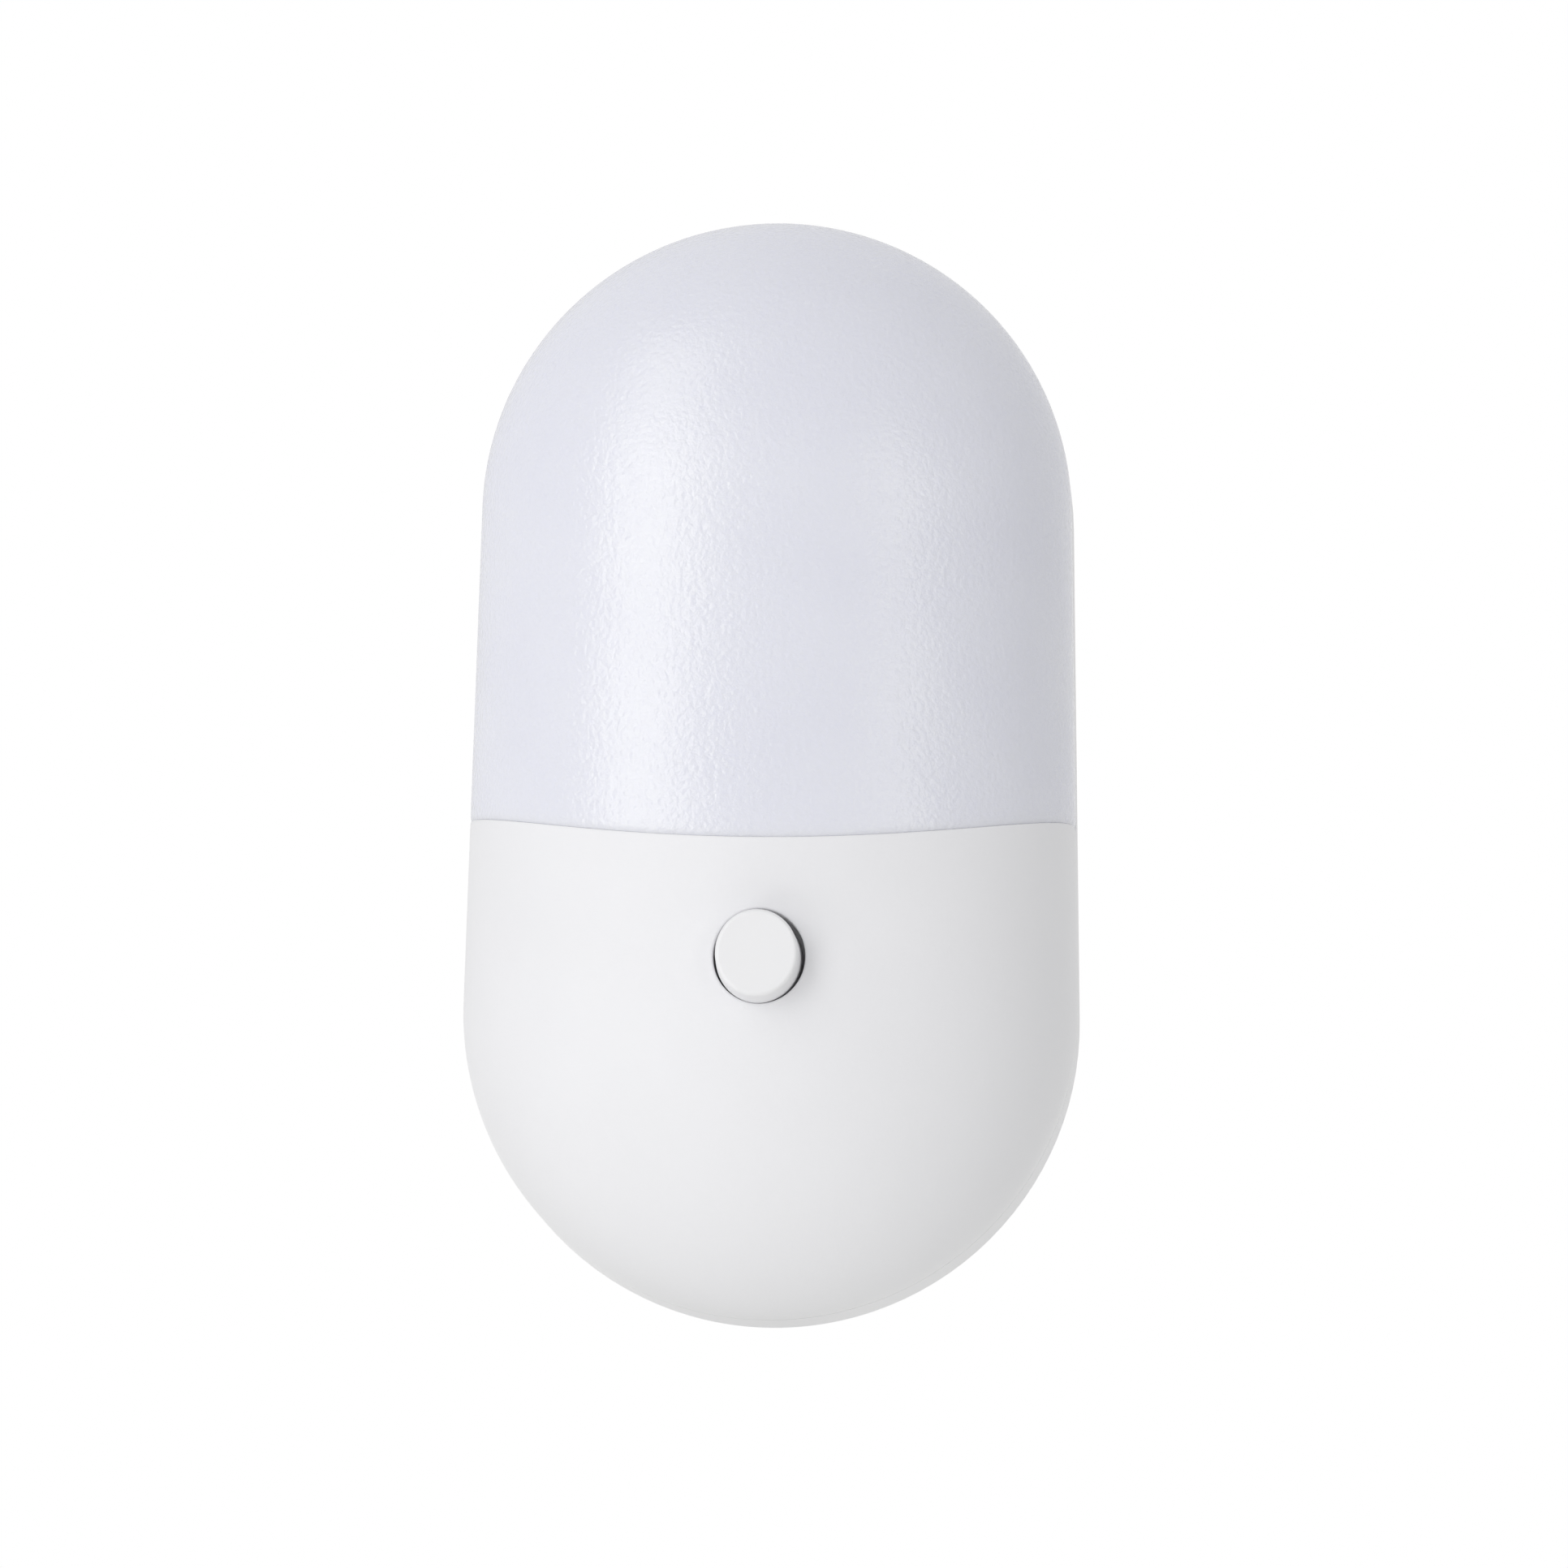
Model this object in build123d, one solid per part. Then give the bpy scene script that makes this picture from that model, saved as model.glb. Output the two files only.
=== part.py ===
from build123d import *
import math
import os

# Plug-in night light: a pill-shaped case that stands on a wall socket, held by its two flat blades.
# The upper front is an opal diffuser, the lower front is a white housing with one round push button.
# Frame: the origin is on the back face, midway between the blades. The wall is towards +Y, the front
# of the light faces -Y, +Z is up. "Depth" is the distance in front of the back face, so y = -depth.
# All sizes are millimetres.

# ---- Case outline, seen from the front
case_height = 110.0        # bottom edge to top edge
low_radius = 30.5          # round bottom end
top_radius = 29.5          # round top end, a little smaller, so the sides lean in
plug_height = 22.0         # bottom edge up to the middle of the blades
side_depth = 12.0          # straight side wall, from the back face
crown_depth = 20.0         # how far the domed front rises past the side wall
wall = 2.0                 # housing and cover walls
lens_wall = 1.8            # diffuser wall

# ---- Back cover
floor_thickness = 2.2
cover_edge = 0.8           # round on the back edge
rim_depth = 10.0           # parting plane between the cover and the two front pieces
parting_gap = 0.15
lip_height = 1.8           # lip of the cover that stands inside the front pieces
lip_thickness = 0.75
skin_thickness = 0.95      # what the lip leaves of the front pieces' walls
vent_count = 5
vent_width = 1.6
vent_length = 15.0
vent_pitch = 4.2

# ---- Seam between the diffuser and the housing: an arc that sags in the middle
seam_height = 45.4         # bottom edge up to the middle of the seam
seam_radius = 123.0
seam_gap = 0.12
tongue_height = 3.0        # light-tight tongue of the housing behind the diffuser's edge
tongue_thickness = 1.2
tongue_root = 3.0

# ---- Clips of the diffuser
clip_width = 8.0
clip_thickness = 1.3
clip_reach = 5.0           # how far a clip reaches behind the parting plane
clip_angle = 48.0          # upper clips, from the vertical
clip_rise = 14.0           # lower clips, above the ends of the seam
nib_height = 0.65
nib_length = 1.3

# ---- General clearances
fit_gap = 0.15             # between pieces that slide together at assembly
seat_gap = 0.05            # between pieces that are held against each other
running_gap = 0.1          # between pieces that slide in use
pin_gap = 0.05             # round leads, wires and screws in their holes

# ---- Push button
button_height = 33.7       # bottom edge up to the button's axis
button_radius = 4.27
button_gap = 0.33          # ring gap between the cap and the housing
button_proud = 3.0         # how far the cap stands out of the case
button_edge = 0.8          # round on the cap's front edge
button_travel = 2.5
button_flange = 1.2        # thickness of the flange that keeps the cap in
flange_overlap = 1.1       # how far the flange reaches past the hole
collar_length = 2.4        # guide collar inside the housing
collar_wall = 1.4
stem_radius = 3.1

# ---- Switch: a latching push switch on the driver board
switch_width = 8.5
switch_depth = 8.0
switch_wall = 0.7
switch_base_thickness = 1.0
plunger_width = 3.3
plunger_proud = 5.5
plunger_head_width = 6.4
plunger_head_height = 5.4
plunger_head_depth = 1.5
plunger_bore = 1.1         # radius of the spring's pocket
spring_radius = 0.95
spring_wire = 0.16         # radius of the spring wire
spring_turns = 7
latch_wire = 0.2           # radius of the latch wire
latch_tip = 0.5
bridge_thickness = 0.25
bridge_length = 3.2
terminal_width = 0.6
terminal_pitch = 2.5
terminal_tail = 3.0

# ---- Driver board
board_width = 30.0
board_thickness = 1.6
board_standoff = 6.8       # floor of the cover to the back of the board
board_low = 12.0           # board's lower edge, below the blades' middle
board_high = 19.5          # board's upper edge, above the blades' middle
board_post_radius = 2.5
board_screw_inset = 3.2

# ---- Parts on the driver board
lead_radius = 0.3
lead_tail = 1.2
film_width = 10.5
film_height = 5.0
film_depth = 9.0
film_lead_pitch = 7.5
film_corner = 0.5
can_radius = 3.15
can_depth = 9.0
can_lead_pitch = 2.5
can_groove = 0.26          # radius of the rolled groove
can_rim = 0.63             # width of the rolled rim on top
bridge_width = 4.7
bridge_height = 3.9
bridge_depth = 2.4
resistor_radius = 1.6
resistor_length = 8.0
bleed_radius = 0.95
bleed_length = 5.6
axial_bend = 1.4
varistor_radius = 3.3
varistor_thickness = 2.8
varistor_lead_pitch = 5.0
chip_width = 4.9
chip_height = 3.9
chip_depth = 1.5
leg_width = 0.42
leg_reach = 0.9
leg_thickness = 0.25
leg_pitch = 1.27

# ---- Middles of the parts on the driver board (x, z), from the middle of the blades
film_at = (-6.4, 0.6)
can_at = (10.2, 10.2)
rectifier_at = (-9.8, 9.6)
resistor_at = (-1.0, -4.6)
varistor_at = (11.0, -0.5)
chip_at = (7.6, -6.4)
bleeds_at = [(-9.9, 4.6), (9.9, 4.6)]

# ---- Plug blades
blade_pitch = 12.7
blade_width = 6.35
blade_thickness = 1.5
blade_length = 17.5        # from the back face to the tip
blade_hole_radius = 1.6
blade_hole_setback = 5.8   # tip to the hole's middle
blade_chamfer = 0.45
blade_slot_gap = 0.12
shoulder_width = 8.6
shoulder_depth = 1.4
blade_tail_width = 4.0
blade_tail_depth = 4.6

# ---- Blade clamp
clamp_width = 30.0
clamp_height = 10.0
clamp_thickness = 2.3
clamp_screw_pitch = 23.0

# ---- LED carrier, LED board and LEDs
carrier_thickness = 1.5
carrier_post_height = 7.5
carrier_inset = 4.3        # carrier's edge, in from the case outline
carrier_rim = 3.0          # height of the reflecting rim
carrier_rim_thickness = 1.2
led_board_thickness = 1.2
led_board_inset = 9.5
led_board_rise = 4.0       # carrier's lower edge up to the board's
led_columns = 3
led_rows = 4
led_column_pitch = 11.5
led_margin = 6.0           # board's lower edge to the first row
led_width = 3.5
led_height = 2.8
led_depth = 0.7
phosphor_radius = 1.15
phosphor_proud = 0.08
led_post_radius = 2.6
led_screw_inset = 3.6

# ---- Screws
screw_radius = 1.3
screw_head_radius = 2.4
screw_head_depth = 1.5
small_screw_radius = 0.95
small_head_radius = 1.9
small_head_depth = 1.1
recess_width = 0.55
recess_depth = 0.8
recess_margin = 0.95       # end of the cross to the edge of the head
case_screw_length = 14.0
case_boss_radius = 3.0
case_boss_margin = 2.6     # boss to the inside of the side wall
cover_boss_depth = 7.8     # top of the cover's screw posts
counterbore_depth = 4.0
board_screw_length = 5.0
clamp_screw_length = 3.2
led_screw_length = 6.5

# ---- Wires
wire_radius = 0.6
wire_bend = 1.3
mains_wire_drop = 1.05     # wire's axis behind the back of the board, less its radius
mains_wire_rise = 3.6      # blade's tail up to the wire's hole
led_wire_pitch = 7.0
led_wire_loop = 3.2        # how far the loop stands in front of the driver board
led_wire_setback = 2.0     # board edge to the wire's hole or pad


# ---- Places worked out from the sizes above
low_z = low_radius - plug_height
top_z = case_height - plug_height - top_radius
lean = (low_radius - top_radius) / (top_z - low_z)
spread = math.sqrt(1 - lean * lean)
button_z = button_height - plug_height
seam_z = seam_height - plug_height
seam_center_z = seam_z + seam_radius
side_seam_z = seam_center_z - math.sqrt(seam_radius ** 2 - low_radius ** 2)

board_back = floor_thickness + board_standoff
board_front = board_back + board_thickness
carrier_back = floor_thickness + carrier_post_height
carrier_front = carrier_back + carrier_thickness
led_board_front = carrier_front + led_board_thickness
carrier_bottom = side_seam_z - carrier_inset / 2
led_board_bottom = carrier_bottom + led_board_rise
clamp_back = floor_thickness + shoulder_depth + seat_gap
clamp_front = clamp_back + clamp_thickness
shoulder_back = floor_thickness + seat_gap
tail_end = shoulder_back + shoulder_depth + blade_tail_depth

switch_base_front = board_front + switch_base_thickness
switch_front = board_front + switch_depth
head_front = switch_front - switch_wall - seat_gap
head_back = head_front - plunger_head_depth
plunger_tip = switch_front + plunger_proud
pocket_end = plunger_tip - plunger_width / 2

FAR = 4 * case_height


def slab(sketch, near, far):
    """Push a front-view sketch (x across, z up) through the depths near to far."""
    return extrude(Plane.XZ.offset(near) * sketch, far - near)


def peg(x, z, radius, near, far):
    """A round bar along the depth."""
    return slab(Pos(x, z) * Circle(radius), near, far)


def block(x, z, width, height, near, far):
    """A rectangular bar along the depth."""
    return slab(Pos(x, z) * Rectangle(width, height), near, far)


def case_edge(inset):
    """Radii and tangent points of the case outline, moved in by inset."""
    low = low_radius - inset
    top = top_radius - inset
    low_point = (low * spread, low_z + low * lean)
    top_point = (top * spread, top_z + top * lean)
    return low, top, low_point, top_point


def case_outline(inset):
    """The front outline: two arcs joined by the straight lines that touch both."""
    low, top, (low_x, low_y), (top_x, top_y) = case_edge(inset)
    bottom_arc = ThreePointArc((-low_x, low_y), (0, low_z - low), (low_x, low_y))
    top_arc = ThreePointArc((top_x, top_y), (0, top_z + top), (-top_x, top_y))
    right_side = Line((low_x, low_y), (top_x, top_y))
    left_side = Line((-top_x, top_y), (-low_x, low_y))
    return make_face(bottom_arc + right_side + top_arc + left_side)


def case_ring(outer_inset, inner_inset):
    """The strip between two copies of the case outline."""
    return case_outline(outer_inset) - case_outline(inner_inset)


def crown(inset):
    """The domed front: the outline's right half turned half round +Z, then flattened in depth."""
    low, top, low_point, top_point = case_edge(inset)
    diagonal = math.sqrt(0.5)
    low_middle = (low * diagonal, low_z - low * diagonal)
    top_middle = (top * diagonal, top_z + top * diagonal)
    low_arc = ThreePointArc((0, low_z - low), low_middle, low_point)
    top_arc = ThreePointArc(top_point, top_middle, (0, top_z + top))
    axis_line = Line((0, top_z + top), (0, low_z - low))
    half = make_face(low_arc + Line(low_point, top_point) + top_arc + axis_line)
    turned = revolve(Plane.XZ * half, Axis.Z, -180)
    flattened = scale(turned, by=(1, (crown_depth - inset) / low, 1))
    return Pos(0, -side_depth, 0) * flattened


def case_body(inset, near):
    """The whole case as a solid, moved in by inset, from the depth near to its front."""
    return slab(case_outline(inset), near, side_depth) + crown(inset)


def front_depth(x, z, inset=0.0):
    """Depth of the domed front at a point of the front view, between the two round ends."""
    low, top, low_point, top_point = case_edge(inset)
    along = (z - low_point[1]) / (top_point[1] - low_point[1])
    half_width = low_point[0] + along * (top_point[0] - low_point[0])
    if z < low_point[1]:
        half_width = math.sqrt(low ** 2 - (z - low_z) ** 2)
    return side_depth + (crown_depth - inset) / low * math.sqrt(half_width ** 2 - x ** 2)


def seam_disc(radius):
    """Everything above an arc that runs with the seam, as a wide round bar."""
    return peg(0, seam_center_z, radius, -FAR, FAR)


def front_shell(thickness):
    """A front wall: dome and side wall, then a thin skin that leaves room for the cover's lip."""
    step = rim_depth + lip_height + fit_gap
    dome = crown(0) - crown(thickness)
    side = slab(case_ring(0, thickness), step, side_depth)
    skin = slab(case_ring(0, skin_thickness), rim_depth + parting_gap, step)
    return dome + side + skin


# ---- Screw places
case_screw_x = low_radius - wall - case_boss_margin - case_boss_radius
case_screw_z = 0.0
case_screws_at = [(-case_screw_x, case_screw_z), (case_screw_x, case_screw_z)]
board_screw_x = board_width / 2 - board_screw_inset
board_screws_at = [
    (-board_screw_x, board_high - board_screw_inset),
    (board_screw_x, board_high - board_screw_inset),
    (0, board_screw_inset - board_low),
]
clamp_screws_at = [(-clamp_screw_pitch / 2, 0), (clamp_screw_pitch / 2, 0)]
led_board_top = top_z + top_radius - led_board_inset
led_screw_x = low_radius - led_board_inset - led_screw_inset
led_screws_at = [
    (-led_screw_x, led_board_bottom + led_screw_inset),
    (led_screw_x, led_board_bottom + led_screw_inset),
    (0, led_board_top - led_screw_inset),
]
clip_places = [(side * low_radius, side_seam_z + clip_rise) for side in (-1, 1)]
clip_sine = math.sin(math.radians(clip_angle))
clip_cosine = math.cos(math.radians(clip_angle))
clip_places += [(side * top_radius * clip_sine, top_z + top_radius * clip_cosine) for side in (-1, 1)]


def clip_zone(x, z, width):
    """A strip, as wide as a clip, that crosses the case edge square to it."""
    angle = math.degrees(math.atan2(z - min(z, top_z), x))
    return Pos(x, z) * (Rot(0, 0, angle) * Rectangle(low_radius / 2, width))


def clip_ring(outer_inset, inner_inset, width):
    """Pieces of a strip along the case edge, one for each clip."""
    ring = case_ring(outer_inset, inner_inset)
    return [ring & clip_zone(x, z, width) for x, z in clip_places]


# ---- Case pieces
def back_cover():
    """A tub with a flat back, blade slots, vents, screw posts and a lip round its rim."""
    cover = slab(case_outline(0), 0, rim_depth)
    cover = fillet(cover.faces().sort_by(Axis.Y)[-1].edges(), cover_edge)
    cover -= slab(case_outline(wall), floor_thickness, FAR)
    lip_outer = skin_thickness + fit_gap
    lip_end = rim_depth + lip_height
    cover += slab(case_ring(lip_outer, lip_outer + lip_thickness), rim_depth / 2, lip_end)
    for x, z in case_screws_at:
        cover += peg(x, z, case_boss_radius + wall / 2, floor_thickness / 2, cover_boss_depth)
        cover -= peg(x, z, screw_head_radius + fit_gap, 0, counterbore_depth)
        cover -= peg(x, z, screw_radius + fit_gap, 0, cover_boss_depth)
    for x, z in board_screws_at:
        cover += peg(x, z, board_post_radius, floor_thickness / 2, board_back)
        cover -= peg(x, z, small_screw_radius + pin_gap, floor_thickness, board_back)
    for x, z in clamp_screws_at:
        cover += peg(x, z, board_post_radius, floor_thickness / 2, clamp_back)
        cover -= peg(x, z, small_screw_radius + pin_gap, floor_thickness / 2, clamp_back)
    for x, z in led_screws_at:
        cover += peg(x, z, led_post_radius, floor_thickness / 2, carrier_back)
        cover -= peg(x, z, small_screw_radius + pin_gap, floor_thickness, carrier_back)
    for side in (-1, 1):
        slot_width = blade_thickness + 2 * blade_slot_gap
        slot_height = blade_width + 2 * blade_slot_gap
        cover -= block(side * blade_pitch / 2, 0, slot_width, slot_height, 0, floor_thickness)
    vent_z = (led_board_bottom + led_board_top) / 2
    for index in range(vent_count):
        z = vent_z + (index - (vent_count - 1) / 2) * vent_pitch
        cover -= slab(Pos(0, z) * SlotOverall(vent_length, vent_width), 0, floor_thickness)
    pocket_near = rim_depth - clip_reach - fit_gap
    pocket_far = rim_depth - clip_reach + nib_length + fit_gap
    for zone in clip_ring(wall - nib_height - 2 * fit_gap, wall + fit_gap, clip_width + 2 * fit_gap):
        cover -= slab(zone, pocket_near, pocket_far)
    return cover


def front_housing():
    """Lower front wall with the button's hole and collar, two screw bosses and the seam tongue."""
    housing = front_shell(wall) - seam_disc(seam_radius + seam_gap / 2)
    root = crown(wall / 2) - seam_disc(seam_radius + seam_gap / 2)
    root &= seam_disc(seam_radius + tongue_root)
    tongue = crown(lens_wall + fit_gap) & seam_disc(seam_radius + tongue_root)
    tongue -= seam_disc(seam_radius - tongue_height)
    hollow = case_body(lens_wall + fit_gap + tongue_thickness, 0)
    housing += (root + tongue) - hollow
    inside = case_body(wall / 2, cover_boss_depth + seat_gap)
    for x, z in case_screws_at:
        boss_end = cover_boss_depth + seat_gap
        housing += peg(x, z, case_boss_radius, boss_end, FAR) & inside
        screw_end = counterbore_depth + case_screw_length
        housing -= peg(x, z, screw_radius + pin_gap, 0, screw_end + seat_gap)
    collar_back = front_depth(0, button_z, wall) - collar_length
    housing += peg(0, button_z, button_radius + button_gap + collar_wall, collar_back, FAR) & inside
    housing -= peg(0, button_z, button_radius + button_gap, collar_back - collar_length, FAR)
    return housing


def diffuser():
    """Upper front wall, domed and thin, with four clips that reach into the cover."""
    lens = front_shell(lens_wall) & seam_disc(seam_radius - seam_gap / 2)
    clip_outer = wall + fit_gap
    clip_near = rim_depth - clip_reach
    joined = case_body(lens_wall / 2, clip_near)
    for zone in clip_ring(clip_outer, clip_outer + clip_thickness, clip_width):
        lens += slab(zone, clip_near, side_depth + crown_depth / 4) & joined
    for zone in clip_ring(wall - nib_height, clip_outer + clip_thickness / 2, clip_width):
        lens += slab(zone, clip_near, clip_near + nib_length)
    return lens


# ---- Button
flange_front = front_depth(0, button_z, wall) - collar_length - seat_gap
flange_back = flange_front - button_flange
stem_back = switch_front + button_travel + 2 * fit_gap
cap_front = front_depth(0, button_z) + button_proud
socket_width = plunger_width + 2 * seat_gap


def push_button():
    """Round cap with a keeping flange and a stem that takes the switch's plunger."""
    cap = peg(0, button_z, button_radius, flange_back, cap_front)
    cap = fillet(cap.edges().filter_by(GeomType.CIRCLE).sort_by(Axis.Y)[0], button_edge)
    cap += peg(0, button_z, button_radius + button_gap + flange_overlap, flange_back, flange_front)
    cap += peg(0, button_z, stem_radius, stem_back, flange_front)
    cap -= block(0, button_z, socket_width, socket_width, stem_back, plunger_tip + seat_gap)
    return cap


# ---- Switch
def switch_case():
    """Box over the switch's works, open at the board and with a window for the plunger."""
    inner = switch_width - 2 * switch_wall
    case = block(0, button_z, switch_width, switch_width, switch_base_front, switch_front)
    case -= block(0, button_z, inner, inner, switch_base_front, switch_front - switch_wall)
    window = plunger_width + 2 * running_gap
    return case - block(0, button_z, window, window, switch_base_front, switch_front)


terminals_at = [
    (side * (switch_width / 2 - switch_wall - terminal_width), button_z + row * terminal_pitch)
    for side in (-1, 1) for row in (-1, 0, 1)
]


def switch_base():
    """Floor of the switch, with a slot for each terminal and a hole for the latch wire."""
    base = block(0, button_z, switch_width, switch_width, board_front, switch_base_front)
    slot = terminal_width + 2 * pin_gap
    for x, z in terminals_at:
        base -= block(x, z, slot, slot, board_front, switch_base_front)
    latch_room = latch_wire + pin_gap
    return base - peg(0, latch_z, latch_room, switch_base_front - latch_tip, switch_base_front)


def switch_terminals():
    """Six pins that rise into the switch and pass through the board."""
    rise = switch_base_front + switch_base_thickness
    tail = board_back - terminal_tail / 2
    return [block(x, z, terminal_width, terminal_width, tail, rise) for x, z in terminals_at]


latch_z = button_z + plunger_head_height / 2 + latch_wire + running_gap


def switch_plunger():
    """Square stem with a wide head, a pocket for the spring and a groove for the latch wire."""
    plunger = block(0, button_z, plunger_width, plunger_width, head_back, plunger_tip)
    plunger += block(0, button_z, plunger_head_width, plunger_head_height, head_back, head_front)
    plunger -= peg(0, button_z, plunger_bore, head_back, pocket_end)
    groove_z = button_z + plunger_head_height / 2
    groove = 2 * (latch_tip + running_gap)
    return plunger - block(0, groove_z, 3 * latch_wire + 2 * running_gap, groove, head_back, head_front)


def switch_spring():
    """Coil spring from the switch's floor to the end of the plunger's pocket."""
    length = pocket_end - switch_base_front - 2 * (spring_wire + seat_gap)
    start = switch_base_front + spring_wire + seat_gap
    coil_radius = spring_radius - spring_wire
    foot = (0, -start, button_z)
    coil = Helix(length / spring_turns, length, coil_radius, center=foot, direction=(0, -1, 0))
    section = Plane(origin=coil @ 0, z_dir=coil % 0) * Circle(spring_wire)
    return sweep(section, path=coil, is_frenet=True)


def switch_latch():
    """Bent wire that hooks into the plunger's groove."""
    bend_depth = head_back + plunger_head_depth / 2
    upright = peg(0, latch_z, latch_wire, switch_base_front - latch_tip + seat_gap, bend_depth)
    tip = extrude(Pos(0, -bend_depth, latch_z) * Circle(latch_wire), -latch_tip)
    return upright + Pos(0, -bend_depth, latch_z) * Sphere(latch_wire) + tip


def switch_bridges():
    """Two contact strips carried by the sides of the plunger's head."""
    x = plunger_head_width / 2 + bridge_thickness / 2
    return [
        block(side * x, button_z, bridge_thickness, bridge_length, head_back, head_front)
        for side in (-1, 1)
    ]


# ---- Driver board and what stands on it
mains_wire_z = blade_tail_width / 2 + mains_wire_rise
led_wires_at = [(side * led_wire_pitch / 2, board_high - led_wire_setback) for side in (-1, 1)]
mains_wires_at = [(side * blade_pitch / 2, mains_wire_z) for side in (-1, 1)]


def axial_span(length):
    """Distance from the middle of an axial part to each of its holes."""
    return length / 2 + axial_bend


def lead_pair(at, half_pitch):
    """Two holes or leads, left and right of a part's middle."""
    return [(at[0] - half_pitch, at[1]), (at[0] + half_pitch, at[1])]


lead_holes = lead_pair(film_at, film_lead_pitch / 2) + lead_pair(can_at, can_lead_pitch / 2)
lead_holes += lead_pair(varistor_at, varistor_lead_pitch / 2)
lead_holes += lead_pair(resistor_at, axial_span(resistor_length))
for bleed_place in bleeds_at:
    lead_holes += lead_pair(bleed_place, axial_span(bleed_length))


def driver_board():
    """Glass-epoxy board with holes for leads, terminals, wires and screws."""
    middle_z = (board_high - board_low) / 2
    board = block(0, middle_z, board_width, board_high + board_low, board_back, board_front)
    board = fillet(board.edges().filter_by(Axis.Y), wall)
    for x, z in board_screws_at:
        board -= peg(x, z, small_screw_radius + fit_gap, board_back, board_front)
    for x, z in lead_holes:
        board -= peg(x, z, lead_radius + pin_gap, board_back, board_front)
    for x, z in led_wires_at + mains_wires_at:
        board -= peg(x, z, wire_radius + pin_gap, board_back, board_front)
    slot = terminal_width + 2 * pin_gap
    for x, z in terminals_at:
        board -= block(x, z, slot, slot, board_back, board_front)
    return board


def leads(places):
    """Straight leads that pass through the board."""
    return [peg(x, z, lead_radius, board_back - lead_tail, board_front + lead_radius) for x, z in places]


def film_capacitor():
    """Boxed film capacitor that drops the mains voltage."""
    body = block(*film_at, film_width, film_height, board_front, board_front + film_depth)
    body = fillet(body.edges().filter_by(Axis.Y), film_corner)
    return body + leads(lead_pair(film_at, film_lead_pitch / 2))


def electrolytic_capacitor():
    """Round can with a rolled groove near its foot and a shallow dish in its top."""
    can = peg(*can_at, can_radius, board_front, board_front + can_depth)
    groove_at = board_front + can_depth / 5
    can -= Pos(can_at[0], -groove_at, can_at[1]) * (Rot(90, 0, 0) * Torus(can_radius, can_groove))
    can -= peg(*can_at, can_radius - can_rim, board_front + can_depth - can_groove / 2, FAR)
    return can + leads(lead_pair(can_at, can_lead_pitch / 2))


def gull_legs(at, width, height, count, pitch):
    """Bent feet on the two long sides of a flat package, lying on the board."""
    legs = []
    for side in (-1, 1):
        for index in range(count):
            x = at[0] + (index - (count - 1) / 2) * pitch
            z = at[1] + side * (height + leg_reach) / 2
            foot = block(x, z, leg_width, leg_reach, board_front, board_front + leg_thickness)
            riser_z = at[1] + side * (height + leg_thickness) / 2
            riser_top = board_front + chip_depth / 2
            legs.append(foot + block(x, riser_z, leg_width, leg_thickness, board_front, riser_top))
    return legs


def bridge_rectifier():
    """Small moulded bridge with two feet on each side."""
    body = block(*rectifier_at, bridge_width, bridge_height, board_front, board_front + bridge_depth)
    return body + gull_legs(rectifier_at, bridge_width, bridge_height, 2, 2 * leg_pitch)


def driver_chip():
    """Eight-legged constant-current controller."""
    body = block(*chip_at, chip_width, chip_height, board_front, board_front + chip_depth)
    dot_at = (chip_at[0] - chip_width / 3, chip_at[1] - chip_height / 3)
    body -= peg(*dot_at, leg_width, board_front + chip_depth - leg_thickness / 2, FAR)
    return body + gull_legs(chip_at, chip_width, chip_height, 4, leg_pitch)


def axial_part(at, radius, length):
    """Barrel lying on the board, with leads bent down through it."""
    axis_depth = board_front + radius
    barrel = Pos(at[0], -axis_depth, at[1]) * (Rot(0, 90, 0) * Cylinder(radius, length))
    barrel = fillet(barrel.edges().filter_by(GeomType.CIRCLE), radius / 4)
    half_span = axial_span(length)
    wire = Pos(at[0], -axis_depth, at[1]) * (Rot(0, 90, 0) * Cylinder(lead_radius, 2 * half_span))
    part = barrel + wire
    for x, z in lead_pair(at, half_span):
        part += peg(x, z, lead_radius, board_back - lead_tail, axis_depth)
        part += Pos(x, -axis_depth, z) * Sphere(lead_radius)
    return part


def varistor():
    """Coated disc standing on edge, its leads straight down from the rim."""
    middle = board_front + varistor_radius
    disc = Pos(varistor_at[0], -middle, varistor_at[1]) * Cylinder(varistor_radius, varistor_thickness)
    disc = fillet(disc.edges().filter_by(GeomType.CIRCLE), varistor_thickness / 4)
    for x, z in lead_pair(varistor_at, varistor_lead_pitch / 2):
        disc += peg(x, z, lead_radius, board_back - lead_tail, middle)
    return disc


# ---- Plug
def plug_blade(side):
    """Flat blade with a chamfered tip and hole, shoulders inside the cover and a solder tail."""
    x = side * blade_pitch / 2
    blade = block(x, 0, blade_thickness, blade_width, -blade_length, shoulder_back)
    blade = chamfer(blade.faces().sort_by(Axis.Y)[-1].edges(), blade_chamfer)
    hole_y = blade_length - blade_hole_setback
    blade -= Pos(x, hole_y, 0) * (Rot(0, 90, 0) * Cylinder(blade_hole_radius, 2 * blade_thickness))
    shoulder_front = shoulder_back + shoulder_depth
    blade += block(x, 0, blade_thickness, shoulder_width, shoulder_back, shoulder_front)
    blade += block(x, 0, blade_thickness, blade_tail_width, shoulder_front, tail_end)
    return blade


def blade_clamp():
    """Plate that holds the blades' shoulders against the cover's floor."""
    clamp = block(0, 0, clamp_width, clamp_height, clamp_back, clamp_front)
    clamp = fillet(clamp.edges().filter_by(Axis.Y), clamp_height / 5)
    for side in (-1, 1):
        slot_width = blade_thickness + 2 * fit_gap
        slot_height = blade_tail_width + 2 * fit_gap
        clamp -= block(side * blade_pitch / 2, 0, slot_width, slot_height, clamp_back, clamp_front)
    for x, z in clamp_screws_at:
        clamp -= peg(x, z, small_screw_radius + fit_gap, clamp_back, clamp_front)
    return clamp


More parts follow.
